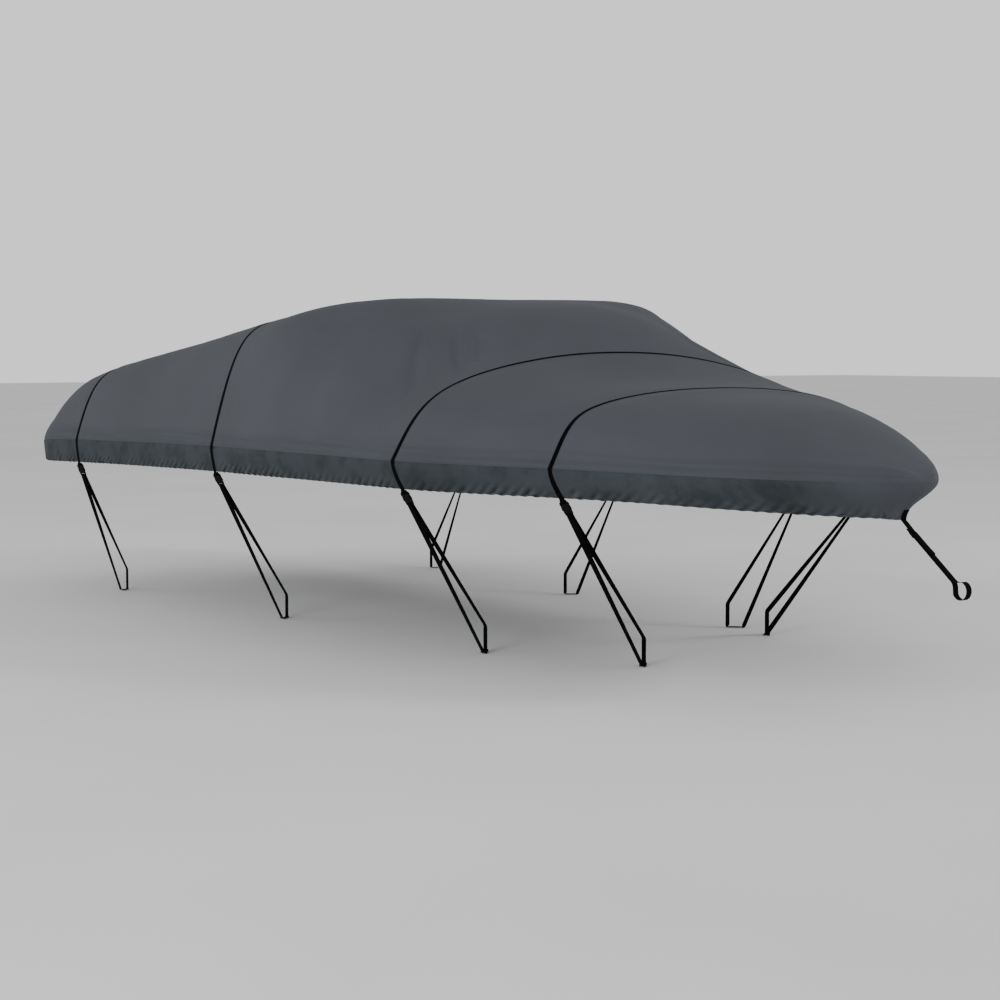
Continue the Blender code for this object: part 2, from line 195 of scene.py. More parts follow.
# %% [markdown]
# ## The band below the edge
#
# The band hangs from the same edge. It drops about a hand's width and is drawn in, most of all round
# the nose, where the elastic has the least to hold it out. Its lines are worked out from the edge's own
# outline and the way that outline faces.

# %% Points on the band
SEAM_GAP = 0.0004
SKIRT_DROP, BOW_DROP = 0.105, 0.020
STERN_TUCK = 0.012
SIDE_TUCK, SIDE_FROM, SIDE_TO = 0.034, 0.30, 0.75
BOW_TUCK, BOW_FROM, BOW_TO = 0.066, 0.84, 0.98
END_SHARE = 0.68           # share of the tuck that is left where the outline faces ahead or astern
SIDE_POWER = 1.53          # along the sides the tuck is drop ** power: straight down first, then in
# How far sideways the outline faces while the tuck turns from its own direction to straight in.
SQUARE_FROM, SQUARE_TO = 0.5, 0.8


def draw_in(normal):
    """How the hem moves for each metre that it is drawn in."""
    sideways = smooth_step(abs(normal.y), SQUARE_FROM, SQUARE_TO)
    if sideways == 0.0:
        return -normal * (END_SHARE + (1 - END_SHARE) * smooth_step(abs(normal.y), 0.0, SQUARE_FROM))
    return Vector((-normal.x * (1 - sideways), -normal.y - sideways * normal.x ** 2 / normal.y, 0.0))


def band_point(seam, normal, drop, draw=None):
    """Point of the band under a seam point, at a share of the drop from 0 at the seam to 1 at the hem."""
    draw = draw_in(normal) if draw is None else draw
    share = (seam.x + ORIGIN.x) / LENGTH
    bow = smooth_step(share, BOW_FROM, BOW_TO)
    height = SKIRT_DROP + BOW_DROP * bow
    tuck = STERN_TUCK + SIDE_TUCK * smooth_step(share, SIDE_FROM, SIDE_TO) + BOW_TUCK * bow
    share_in = (1 - bow) * drop ** SIDE_POWER + bow * smooth_step(drop, 0.0, 1.0)
    down = SEAM_GAP + drop * (height - SEAM_GAP)
    return seam + draw * (tuck * share_in) - Vector((0.0, 0.0, down))


def edge_at(x, side):
    """Point of the edge and its outward direction in plan, at a station on one side."""
    reach, margin = 0.02, 0.001
    before, after = (top_point(min(LENGTH - margin, max(margin, x + d)), side) for d in (-reach, reach))
    run = after - before
    normal = Vector((-run.y * side, run.x * side, 0.0)).normalized()
    return top_point(x, side), normal


# %% [markdown]
# ## Where the straps lie
#
# Four straps cross the cover. Cloth under a strap is held down and stays flat, and the cloth beside it
# stands a little proud, so the relief of the cloth has to know where the straps are before anything is
# built.

# %% Strap stations
STRAP_STATIONS = (0.67, 2.03, 3.35, 3.95)
WEB_WIDTH = 0.025
WEB_THICK = 0.0016
HELD_FLAT = 0.016          # half the width of cloth that a strap holds down
FREE_AGAIN = 0.075         # distance at which the cloth no longer feels the strap


def strap_distance(x):
    """Distance along the cover to the nearest strap."""
    return min(abs(x + ORIGIN.x - station) for station in STRAP_STATIONS)


def strap_hold(x):
    """0 under a strap, rising to 1 where the cloth is free of it."""
    return smooth_step(strap_distance(x), HELD_FLAT, FREE_AGAIN)


# %% [markdown]
# ## Relief of the top cloth
#
# A strapped cover is nearly smooth, and looks false if it is quite smooth. Three things break it up: a few
# soft folds that run down the slope ahead of its highest part, where there is spare cloth; a roll of the
# cloth just above the edge, with faint lines along it; and a slow unevenness over the whole. The folds are
# listed, each a line on the surface with a width and a height, below zero for a trough.

# %% Folds
Fold = namedtuple("Fold", ("line", "width", "height"))
FOLDS = (
    Fold(((0.35, -0.58, -0.08), (0.52, -0.75, -0.23), (0.74, -0.90, -0.40)), 0.026, -0.0115),
    Fold(((0.34, -0.55, -0.07), (0.57, -0.71, -0.23), (0.75, -0.83, -0.35)), 0.024, 0.0100),
    Fold(((0.46, -0.54, -0.11), (0.66, -0.65, -0.23), (0.83, -0.74, -0.32), (0.98, -0.82, -0.38)),
         0.024, -0.0125),
    Fold(((0.49, -0.51, -0.11), (0.63, -0.57, -0.19), (0.78, -0.67, -0.28)), 0.022, 0.0095),
    Fold(((0.46, -0.45, -0.08), (0.68, -0.56, -0.20), (0.81, -0.68, -0.29)), 0.020, -0.0085),
    Fold(((0.36, 0.52, -0.07), (0.55, 0.70, -0.22), (0.73, 0.86, -0.37)), 0.028, -0.0110),
    Fold(((0.42, 0.46, -0.09), (0.62, 0.61, -0.21), (0.84, 0.74, -0.32)), 0.024, 0.0095),
    Fold(((0.46, 0.41, -0.10), (0.70, 0.56, -0.21), (0.90, 0.68, -0.32)), 0.022, -0.0100),
    Fold(((-0.45, -1.00, -0.30), (-0.36, -1.06, -0.52)), 0.060, -0.0040),
    Fold(((-0.95, 0.98, -0.32), (-0.70, 1.06, -0.52)), 0.060, -0.0040),
    Fold(((-2.20, -0.60, -0.33), (-1.95, -0.98, -0.40)), 0.050, -0.0040),
    Fold(((-2.18, 0.52, -0.34), (-1.90, 0.96, -0.36)), 0.050, -0.0040),
)
FOLD_SPAN = 1.2            # no fold has any effect further than this from its first point
FOLD_REACH = 3             # widths to each side that a fold is felt
FOLD_FADE_IN, FOLD_FADE_OUT = 0.25, 0.7        # shares of its line


def distance_to_line(point, line):
    """Distance from a point to a polyline, and how far along the polyline the nearest place is, 0 to 1."""
    best = (1e9, 0.0)
    for k, (start, end) in enumerate(zip(line, line[1:])):
        run = end - start
        t = max(0.0, min(1.0, (point - start).dot(run) / run.length_squared))
        best = min(best, ((point - start - run * t).length, (k + t) / (len(line) - 1)))
    return best


FOLD_LINES = [[Vector(p) for p in fold.line] for fold in FOLDS]


def fold_relief(point):
    """Height of all the folds together at a point."""
    total = 0.0
    for fold, line in zip(FOLDS, FOLD_LINES):
        if (point - line[0]).length > FOLD_SPAN:
            continue
        distance, t = distance_to_line(point, line)
        if distance < FOLD_REACH * fold.width:
            ends = smooth_step(t, 0.0, FOLD_FADE_IN) * (1.0 - smooth_step(t, FOLD_FADE_OUT, 1.0))
            total += fold.height * math.exp(-(distance / fold.width) ** 2) * ends
    return total


# %% Relief of the top as a whole
EDGE_ROLL = 0.0045         # how far the cloth stands out just above the edge
EDGE_REACH = 0.10          # how far up the side the roll goes
EDGE_LINES = 0.0009        # height of the faint lines along it
LINES_FROM, LINES_FULL = 0.004, 0.02           # how far up the lines start, and are at full height
PILLOW = 0.0022            # how far the cloth stands proud beside a strap
PILLOW_TOP, PILLOW_FROM, PILLOW_TO = 0.038, 0.045, 0.13      # distances from the strap: full, falling, gone
HELD_BY_SEAM = 0.03        # how far up from the seam the cloth is held smooth
# Slow unevenness in three layers: waves to the metre, start in the noise and height.
UNEVEN = (
    (2.1, Vector((4.0, 1.0, 9.0)), 0.0032),
    (6.3, Vector((1.0, 7.0, 2.0)), 0.0009),
    (17.0, Vector((0.0, 0.0, 0.0)), 0.0004),
)


def edge_relief(x, up):
    """The roll above the edge, with faint lines along it. up is the distance from the edge."""
    if up > 2 * EDGE_REACH:
        return 0.0
    roll = EDGE_ROLL * math.sin(math.pi * min(1.0, up / EDGE_REACH)) ** 0.8 if up < EDGE_REACH else 0.0
    lines = noise.noise(Vector((x * 1.7, up * 42.0, 3.1))) * EDGE_LINES
    fade = 1 - smooth_step(up, EDGE_REACH * 0.8, 2 * EDGE_REACH)
    return roll + lines * smooth_step(up, LINES_FROM, LINES_FULL) * fade


def slow_relief(point):
    return sum(noise.noise(point * waves + start) * height for waves, start, height in UNEVEN)


def pillow_relief(x):
    nearest = strap_distance(x)
    rise = smooth_step(nearest, HELD_FLAT, PILLOW_TOP)
    return PILLOW * rise * (1 - smooth_step(nearest, PILLOW_FROM, PILLOW_TO))


def top_relief(point, up):
    """How far the top cloth stands out of its plain surface."""
    hold = strap_hold(point.x)
    free = smooth_step(up, 0.0, HELD_BY_SEAM)
    loose = slow_relief(point) + fold_relief(point)
    return hold * (free * loose + edge_relief(point.x, up)) + free * pillow_relief(point.x)


# %% [markdown]
# ## One way to make a sheet
#
# Cloth and webbing are both sheets. A grid operator makes the faces, each corner is then moved to its
# place on the surface, and Solidify gives the thickness inwards. The UV map holds real metres along and
# across the sheet, so that a weave or a stitch can be drawn at its size and follows the cloth round
# every bend.

# %% Sheets from grids
MERGE = 0.00002


def link_mesh(name, bm, materials, smooth_angle=60):
    """Makes the object. Open edges stay sharp, so a rim made later doesn't tint the cloth beside it."""
    bm.edges.index_update()
    rim = [edge.index for edge in bm.edges if edge.is_boundary]
    mesh = bpy.data.meshes.new(name)
    bm.to_mesh(mesh)
    bm.free()
    for material in materials:
        mesh.materials.append(material)
    mesh.shade_smooth()
    mesh.set_sharp_from_angle(angle=math.radians(smooth_angle))
    for k in rim:
        mesh.edges[k].use_edge_sharp = True
    piece = bpy.data.objects.new(name, mesh)
    bpy.context.scene.collection.objects.link(piece)
    return piece


def sheet_grid(rows, metres, flip=False, mark=None, values=None):
    """A bmesh grid through rows of points. metres gives each point's UV; equal points are merged.

    mark names an attribute that the finish reads, and values gives it for each point."""
    columns = len(rows[0])
    bm = bmesh.new()
    bmesh.ops.create_grid(bm, x_segments=columns - 1, y_segments=len(rows) - 1, size=1.0)
    uv = bm.loops.layers.uv.new("metres")
    layer = bm.verts.layers.float.new(mark) if mark else None
    place = {vert: divmod(k, columns) for k, vert in enumerate(bm.verts)}
    for face in bm.faces:
        for loop in face.loops:
            i, j = place[loop.vert]
            loop[uv].uv = metres[i][j]
    for vert, (i, j) in place.items():
        vert.co = rows[i][j]
        if mark:
            vert[layer] = values[i][j]
    bmesh.ops.remove_doubles(bm, verts=bm.verts, dist=MERGE)
    if flip:
        bmesh.ops.reverse_faces(bm, faces=bm.faces[:])
    return bm


def thicken(piece, thickness, inner_material=0):
    solid = piece.modifiers.new("thickness", "SOLIDIFY")
    solid.thickness = thickness
    solid.offset = -1.0
    solid.material_offset = inner_material
    return piece


# %% [markdown]
# ## Finishes
#
# Every finish is drawn by nodes. One function adds a node with its settings and its links, and one
# turns the sRGB colour of a sample card into the linear colour that a shader wants.

# %% Node helpers
WAVE_RADIANS = 20          # a wave texture turns by this many radians for each unit of its vector


def srgb(code):
    """Linear RGBA from an sRGB hex code."""
    values = [int(code[k:k + 2], 16) / 255 for k in (1, 3, 5)]
    linear = [v / 12.92 if v <= 0.04045 else ((v + 0.055) / 1.055) ** 2.4 for v in values]
    return (*linear, 1.0)


def add(material, kind, inputs=(), **settings):
    """Adds a node. inputs maps a socket's name or number to a value or to another node's output socket."""
    node = material.node_tree.nodes.new(kind)
    for name, value in settings.items():
        setattr(node, name, value)
    for name, value in dict(inputs).items():
        if isinstance(value, bpy.types.NodeSocket):
            material.node_tree.links.new(value, node.inputs[name])
        else:
            node.inputs[name].default_value = value
    return node


def new_material(name, **values):
    """A material whose principled shader has plain values on its own sockets."""
    material = bpy.data.materials.new(name)
    material.use_nodes = True
    shader = material.node_tree.nodes["Principled BSDF"]
    for socket, value in values.items():
        shader.inputs[socket.replace("_", " ")].default_value = value
    return material


def drive(material, **outputs):
    """Links outputs to sockets of the principled shader."""
    shader = material.node_tree.nodes["Principled BSDF"]
    for socket, output in outputs.items():
        material.node_tree.links.new(output, shader.inputs[socket.replace("_", " ")])


def noise_of(material, vector, scale, detail, **more):
    """A noise texture's value. more names its other sockets."""
    inputs = {"Vector": vector, "Scale": scale, "Detail": detail, **more}
    return add(material, "ShaderNodeTexNoise", inputs).outputs["Fac"]


def bands_of(material, coords, radian, direction, **more):
    """A wave texture's value. radian is the length of one radian of the wave, in metres."""
    inputs = {"Vector": coords, "Scale": 1 / (WAVE_RADIANS * radian), **more}
    return add(material, "ShaderNodeTexWave", inputs, wave_type="BANDS", bands_direction=direction,
               wave_profile="SIN").outputs["Fac"]


def mapped(material, value, source, target=(0.0, 1.0), **settings):
    """A value taken from one range to another and kept inside it."""
    inputs = {"Value": value, "From Min": source[0], "From Max": source[1],
              "To Min": target[0], "To Max": target[1]}
    return add(material, "ShaderNodeMapRange", inputs, **settings).outputs["Result"]


def maths(material, operation, a, b):
    return add(material, "ShaderNodeMath", {0: a, 1: b}, operation=operation).outputs[0]


def mixed(material, factor, a, b, blend="MIX"):
    return add(material, "ShaderNodeMix", {"Factor": factor, "A": a, "B": b}, data_type="RGBA",
               blend_type=blend).outputs["Result"]


def ramp(material, factor, *stops):
    """A colour ramp through (place, linear colour) stops."""
    node = add(material, "ShaderNodeValToRGB", {"Fac": factor})
    elements = node.color_ramp.elements
    while len(elements) < len(stops):
        elements.new(0.5)
    for element, (place, colour) in zip(elements, stops):
        element.position = place
        element.color = colour
    return node.outputs["Color"]


# %% [markdown]
# ## Woven polyester
#
# The cloth is a solution-dyed polyester in plain weave, with a coating on its back. It is matt, with a
# slight bloom of fibre at grazing angles. Its threads are about half a millimetre apart, which no
# picture of a whole cover can show, so the weave is drawn far coarser, a crest every 14 mm, and very
# low: it only breaks up the light. Slow noise makes it look handled: a little dust, a little fading.

# %% Woven polyester
WEAVE_RADIAN = 0.0022      # metres of cloth to a radian of the weave as drawn


def metres_of(material):
    """The UV map, which holds real metres along and across the sheet."""
    return add(material, "ShaderNodeUVMap", uv_map="metres").outputs["UV"]


def space_of(material):
    return add(material, "ShaderNodeTexCoord").outputs["Object"]


def plain_weave(material, coords):
    """Height of a plain weave: two thread directions that take turns on top."""
    warp, weft = (bands_of(material, coords, WEAVE_RADIAN, direction, Distortion=0.6, Detail=1.0,
                           **{"Detail Scale": 0.4}) for direction in ("X", "Y"))
    return maths(material, "MULTIPLY", warp, weft)


def woven_polyester(name, dark, middle, pale, roughness):
    """Returns the material and the colour that its shader reads, so that wear and painted light and shade
    can be laid over it.
    """
    material = new_material(name, Roughness=roughness, Sheen_Weight=0.02, Sheen_Roughness=0.6, IOR=1.5,
                            Specular_IOR_Level=0.10)
    coords = metres_of(material)
    cloudy = noise_of(material, space_of(material), 2.6, 5.0, Roughness=0.55)
    colour = ramp(material, cloudy, (0.30, srgb(dark)), (0.52, srgb(middle)), (0.74, srgb(pale)))
    thread = noise_of(material, coords, 420.0, 2.0)
    colour = mixed(material, 0.12, colour, thread, "OVERLAY")
    shade = mapped(material, cloudy, (0.3, 0.7), (roughness - 0.05, roughness + 0.07))
    bump = add(material, "ShaderNodeBump", {"Height": plain_weave(material, coords), "Strength": 0.22,
                                            "Distance": 0.0012})
    drive(material, Base_Color=colour, Roughness=shade, Normal=bump.outputs["Normal"])
    return material, colour


def lay_over(material, colour, factor, tint):
    """Multiplies the colour by a tint where factor is 1, and hands it to the shader."""
    worn = mixed(material, factor, colour, srgb(tint), "MULTIPLY")
    drive(material, Base_Color=worn)
    return worn


# %% The three cloths
top_fabric, top_colour = woven_polyester("woven_polyester_grey", "#4a4d52", "#4d5056", "#505359", 0.86)
# The band is the same cloth as the top; its darker colours are painted shade, for a band that faces down
# and in.
band_fabric, band_colour = woven_polyester("woven_polyester_grey_in_shade", "#353a3d", "#3a3f43", "#404549",
                                           0.88)
lining_fabric, _ = woven_polyester("coated_back_of_polyester", "#4e5155", "#55585d", "#5d6064", 0.62)

# %% Painted shade above the edge
CREASE_SHADE_TO = 0.085             # height of the strip, in metres up the cloth from the edge
CREASE_SHADE_SOFT = 0.45            # share of that height where it starts to fade
STREAK_STRETCH = 26.0      # how much finer the streaks are up the cloth than along it


def painted_crease_shade(material, colour):
    """Painted shade: the cloth just above the edge, where it rolls in to the crease, is painted a little
    darker, in streaks that run along the cover.
    """
    up = add(material, "ShaderNodeAttribute", attribute_name="above_edge").outputs["Fac"]
    strip = mapped(material, up, (CREASE_SHADE_TO * CREASE_SHADE_SOFT, CREASE_SHADE_TO), (1.0, 0.0), interpolation_type="SMOOTHSTEP")
    station = add(material, "ShaderNodeSeparateXYZ", {"Vector": metres_of(material)}).outputs["X"]
    height = maths(material, "MULTIPLY", up, STREAK_STRETCH)
    long_way = add(material, "ShaderNodeCombineXYZ", {"X": station, "Y": height}).outputs["Vector"]
    streaks = mapped(material, noise_of(material, long_way, 2.4, 3.0), (0.35, 0.65), (0.35, 1.0))
    return lay_over(material, colour, maths(material, "MULTIPLY", strip, streaks), "#ececec")


top_colour = painted_crease_shade(top_fabric, top_colour)

# %% The band's own finish
NOSE_FROM, NOSE_TO = 2.16, 2.40      # metres ahead of the ridge: the band and its crease fade into the nose
NOSE_SHARE = 0.75          # share of the nose's own tone in the band there
GATHERS_SHOWN = 0.6        # height of a crest whose painted highlight is full, as a share of the usual height
# Gains on the band's colour: painted shade in the troughs of the gathers, painted highlight on their
# crests.
TROUGH_TONE, CREST_TONE = 0.52, 1.65


def blotches(material, colour):
    """Damp and dust leave the band uneven, in patches about a hand wide."""
    patch = noise_of(material, metres_of(material), 9.0, 4.0, Roughness=0.6)
    factor = mapped(material, patch, (0.42, 0.66), interpolation_type="SMOOTHSTEP")
    return lay_over(material, colour, factor, "#dedede")


def pale_nose(material, colour, tint):
    """Round the nose the band leans back less and takes more light, nearly that of the top."""
    forward = add(material, "ShaderNodeSeparateXYZ", {"Vector": space_of(material)}).outputs["X"]
    factor = mapped(material, forward, (NOSE_FROM, NOSE_TO), (0.0, NOSE_SHARE),
                    interpolation_type="SMOOTHSTEP")
    drive(material, Base_Color=mixed(material, factor, colour, srgb(tint)))


def painted_gather_shading(material, colour):
    """Painted light and shade on the gathers: their crests are painted paler, as a highlight, and their
    troughs darker, as shade.
    """
    height = add(material, "ShaderNodeAttribute", attribute_name="gathers").outputs["Fac"]
    gain = mapped(material, height, (-GATHERS_SHOWN, GATHERS_SHOWN), (TROUGH_TONE, CREST_TONE))
    gain = add(material, "ShaderNodeCombineXYZ", {"X": gain, "Y": gain, "Z": gain}).outputs["Vector"]
    return mixed(material, 1.0, colour, gain, "MULTIPLY")


band_colour = painted_gather_shading(band_fabric, blotches(band_fabric, band_colour))
pale_nose(band_fabric, band_colour, "#4a4d53")

# %% [markdown]
# ## The top cloth
#
# Rows lie closer at both ends, where the section changes fastest. Each point is pushed out of the plain
# surface by the relief, square to the cloth. The underside gets the coated back of the same cloth.

# %% Spacing on the top cloth
TOP_ROWS = 290
TOP_COLUMNS = 160
CROWDING = 0.42            # spacing of the columns at the edge, as a share of their mean spacing
FINE = 160                 # samples that measure a half section


def rows_along(count):
    """Stations that lie closer together at both ends."""
    return [LENGTH * (1 - math.cos(math.pi * k / count)) / 2 for k in range(count + 1)]


def grid_normals(grid):
    """Unit normals of a grid of points, out of the cover."""
    normals = []
    for i, row in enumerate(grid):
        before, after = grid[max(i - 1, 0)], grid[min(i + 1, len(grid) - 1)]
        line = []
        for j in range(len(row)):
            over = row[min(j + 1, len(row) - 1)] - row[max(j - 1, 0)]
            line.append((after[j] - before[j]).cross(over).normalized())
        normals.append(line)
    return normals


def spaced_shares(section):
    """Places across a section at known distances from the edge, and those distances.

    A tight shoulder bunches up equal steps of the curve, so the half section is measured first."""
    fine = [1 - (k / FINE) ** 2 for k in range(FINE + 1)]
    points = [section_point(section, share) for share in fine]
    reached = [0.0]
    for a, b in zip(points, points[1:]):
        reached.append(reached[-1] + (b - a).length)
    half = TOP_COLUMNS // 2
    goals = [reached[-1] * (CROWDING * k / half + (1 - CROWDING) * (k / half) ** 2) for k in range(half)]
    shares, n = [], 0
    for goal in goals:
        while reached[n + 1] < goal:
            n += 1
        step = reached[n + 1] - reached[n]
        t = (goal - reached[n]) / step if step else 0.0
        shares.append(fine[n] + (fine[n + 1] - fine[n]) * t)
    return [-share for share in shares] + [0.0] + shares[::-1], goals + [reached[-1]] + goals[::-1]


# %% The top cloth
CREASE_DEPTH = 0.0030      # how far the seam at the edge pulls both cloths in
CREASE_RISE = 0.008        # how far up the top cloth that shows
CREASE_LOST = 0.8          # share of the crease that is gone at the nose
SMOOTH_STERN, SMOOTH_NOSE = 0.05, 0.03         # how far from each end the relief is at full height


def crease_depth(x):
    return CREASE_DEPTH * (1 - CREASE_LOST * smooth_step(x, NOSE_FROM, NOSE_TO))


def pull_in(point, out, up):
    """The crease at the seam: the last few millimetres of cloth go in, level with the ground."""
    flat = Vector((out.x, out.y, 0.0))
    if flat.length <= 0.05:
        return flat
    return flat.normalized() * (crease_depth(point.x) * max(0.0, 1 - up / CREASE_RISE))


def build_top():
    """The top cloth, and the area of its strips across."""
    stations = rows_along(TOP_ROWS)
    sections = [section_at(x) for x in stations]
    spacing = [spaced_shares(section) for section in sections]
    plain = [[section_point(section, a) - ORIGIN for a in shares]
             for section, (shares, _) in zip(sections, spacing)]
    normals = grid_normals(plain)
    rows, metres, area = [], [], 0.0
    for i, (points, outs, (_, ups)) in enumerate(zip(plain, normals, spacing)):
        ends = smooth_step(stations[i], 0.0, SMOOTH_STERN)
        ends *= 1 - smooth_step(stations[i], LENGTH - SMOOTH_NOSE, LENGTH)
        rows.append([point + out * (top_relief(point, up) * ends) - pull_in(point, out, up)
                     for point, out, up in zip(points, outs, ups)])
        middle = max(ups)
        metres.append([(stations[i], math.copysign(middle - up, point.y))
                       for point, up in zip(points, ups)])
        if i:
            area += (stations[i] - stations[i - 1]) * 2 * middle
    bm = sheet_grid(rows, metres, flip=True, mark="above_edge", values=[ups for _, ups in spacing])
    piece = link_mesh("top_fabric", bm, (top_fabric, lining_fabric))
    return thicken(piece, CLOTH_THICK, inner_material=1), area


top_piece, top_area = build_top()
print("top cloth, square metres in plan strips", round(top_area, 2))

# %% [markdown]
# ## The band and its gathered hem
#
# The band is one long strip, so its outline is walked in equal steps of a few millimetres. Near the hem
# the elastic gathers it into small puckers. They come in clusters, lean a little towards the bow as
# they rise and die out within a few centimetres. The hem itself is a narrow roll round the cord.

# %% Outline of the seam
OUTLINE_STEP = 0.0062
SIDE_STATIONS, STERN_STEPS = 500, 120
NORMAL_REACH = 3           # outline steps to each side that settle which way the seam faces


def seam_outline():
    """The seam as one closed polyline: starboard side forward, port side aft, then across the stern."""
    stations = rows_along(SIDE_STATIONS)
    starboard = [top_point(x, -1.0) for x in stations]
    port = [top_point(x, 1.0) for x in reversed(stations[:-1])]
    stern = [top_point(0.0, 1 - 2 * k / STERN_STEPS) for k in range(1, STERN_STEPS)]
    return starboard + port + stern


def walk(loop, step):
    """Points at equal distances round a closed polyline, and the distance of each from the start."""
    total = sum((b - a).length for a, b in zip(loop, loop[1:] + loop[:1]))
    count = round(total / step)
    points, k, travelled = [], 0, 0.0
    edge = (loop[1] - loop[0]).length
    for n in range(count):
        goal = total * n / count
        while travelled + edge < goal:
            travelled += edge
            k += 1
            edge = (loop[(k + 1) % len(loop)] - loop[k]).length
        points.append(loop[k].lerp(loop[(k + 1) % len(loop)], (goal - travelled) / edge if edge else 0.0))
    return points, [total * n / count for n in range(count)], total


def smooth_normals(points, reach):
    """Outward directions in plan, each from a run of the outline that is reach steps long both ways."""
    count = len(points)
    normals = []
    for k in range(count):
        run = points[(k + reach) % count] - points[k - reach]
        normals.append(Vector((run.y, -run.x, 0.0)).normalized())
    return normals


seam_points, seam_lengths, seam_total = walk(seam_outline(), OUTLINE_STEP)
seam_normals = smooth_normals(seam_points, NORMAL_REACH)
print("seam, metres", round(seam_total, 3))

# %% How the hem is drawn in round the nose
DRAW_REACH = 10            # outline steps to each side that even it out, so the hem never doubles back
TIP_FROM, TIP_TO = 0.03, 0.10        # metres from the nose's tip: it is kept there, under the tab


def even_draws(points, normals, reach):
    """Directions of draw_in along the outline, each the mean of a run of reach steps both ways."""
    draws = [draw_in(normal) for normal in normals]
    count = len(draws)
    evened = []
    for k, point in enumerate(points):
        run = [draws[(k + step) % count] for step in range(-reach, reach + 1)]
        mean = sum(run, Vector()) / len(run)
        evened.append(draws[k].lerp(mean, smooth_step(abs(point.y), TIP_FROM, TIP_TO)))
    return evened


seam_draws = even_draws(seam_points, seam_normals, DRAW_REACH)

# %% Puckers at the hem
PUCKER_PITCH = 0.043
PUCKER_HEIGHT = 0.0090
PUCKER_LEAN = 1.45         # metres forward for each metre up
PUCKER_STRAY = 0.016       # how far a pucker strays from the even pitch
PUCKER_REACH, REACH_SPREAD = 0.029, 0.018      # how far up they reach, and how much that varies
LEAST_CROWD, MEAN_SINGLE, SINGLE_SPREAD = 0.40, 0.7, 0.9     # shares of the height


def pucker(along, up, side):
    """Height of the gathers at a distance along the hem and up from it. side turns the lean to port.

    Each noise has its own rate to the metre: one strays the pitch, one crowds the puckers into clusters,
    one gives each its own height and one its own reach."""
    place = along + side * PUCKER_LEAN * up
    warped = place + PUCKER_STRAY * noise.noise(Vector((place * 11.0, 0.0, 5.0)))
    wave = math.sin(2 * math.pi * warped / PUCKER_PITCH)
    crowd = LEAST_CROWD + max(0.0, noise.noise(Vector((along * 1.9, 2.0, 0.0))) + 0.25)
    single = MEAN_SINGLE + SINGLE_SPREAD * noise.noise(Vector((along * 23.0, 7.0, 0.0)))
    reach = PUCKER_REACH + REACH_SPREAD * (noise.noise(Vector((along * 8.0, 4.0, 1.0))) + 0.3)
    fade = math.exp(-(up / reach) ** 2)
    sharp = wave if wave < 0 else wave ** 0.7
    return PUCKER_HEIGHT * crowd * single * fade * sharp


# %% The band
BAND_LINES = (0.0, 0.03, 0.07, 0.11, 0.16, 0.26, 0.37, 0.48, 0.58, 0.66, 0.73, 0.79, 0.85, 0.90, 0.94)
CREASE_REACH = 0.14        # share of the drop over which the band comes out again
LIP_IN, LIP_UP = 0.0026, 0.0006      # the band's edge is sewn in behind the top cloth, and keeps light out
SWELL, SLACK = 0.0016, 0.0030        # how far the band bellies out, evenly and at random
NEAR_TIP, OFF_TIP = 0.05, 0.22       # metres from the nose's tip between which the gathers grow
TIP_SHARE = 0.25                     # share of the gathers that is left at the tip
FACING_SIDEWAYS = 0.3                # beyond this the outline runs under the straps
GATHER_FROM, GATHER_FULL = 0.3, 0.7  # shares of the drop
BAND_THICK = 0.0016
ROLL_RADIUS = 0.0042
ROLL_SINK = 0.9                      # share of its radius that the roll's middle lies behind the hem
ROLL_PALER = 0.3                      # the roll is painted a little paler than the band
ROLL_GROWS = 0.3                     # share by which it is thicker where no strap holds it
ROLL_OUT, ROLL_UP = 0.5, 0.25        # shares of a pucker's height by which it follows out and up
ROLL_STEPS = (-60, -20, 20, 60, 100, 150)


def band_profile(seam, normal, along, draw):
    """Points down the band and round the hem's roll, each one's distance below the seam and its gathers."""
    side = -1.0 if seam.y < 0 else 1.0
    from_tip = smooth_step(abs(seam.y), NEAR_TIP, OFF_TIP) if seam.x > 0 else 1.0
    hold = strap_hold(seam.x) if abs(normal.y) > FACING_SIDEWAYS else 1.0
    hold *= TIP_SHARE + (1 - TIP_SHARE) * from_tip
    hem = band_point(seam, normal, 1.0, draw)
    height = (seam - hem).z
    points = [seam - normal * (crease_depth(seam.x) + LIP_IN) + Vector((0.0, 0.0, LIP_UP))]
    below, gathers = [-LIP_IN], [0.0]
    for drop in BAND_LINES:
        point = band_point(seam, normal, drop, draw)
        up = height * (1 - drop)
        swell = SWELL * math.sin(math.pi * drop)
        slack = SLACK * noise.noise(Vector((along * 2.7, drop * 1.5, 8.0)))
        swell += slack * smooth_step(drop, 0.0, GATHER_FROM)
        gather = hold * pucker(along, up, side) * smooth_step(drop, GATHER_FROM, GATHER_FULL)
        push = hold * swell + gather
        push -= crease_depth(seam.x) * (1 - smooth_step(drop, 0.0, CREASE_REACH))
        points.append(point + normal * push)
        below.append(height * drop)
        gathers.append(gather / PUCKER_HEIGHT)
    wave = hold * pucker(along, 0.0, side)
    centre = hem - normal * (ROLL_RADIUS * ROLL_SINK) + Vector((0.0, 0.0, ROLL_RADIUS + ROLL_UP * wave))
    radius = ROLL_RADIUS * (1.0 + ROLL_GROWS * hold) + ROLL_OUT * wave
    for angle in ROLL_STEPS:
        turn = math.radians(angle)
        down = Vector((0.0, 0.0, math.sin(turn) * ROLL_RADIUS))
        points.append(centre + normal * (math.cos(turn) * radius) - down)
        below.append(height + ROLL_RADIUS * turn)
        gathers.append(ROLL_PALER + wave / PUCKER_HEIGHT)
    return points, below, gathers


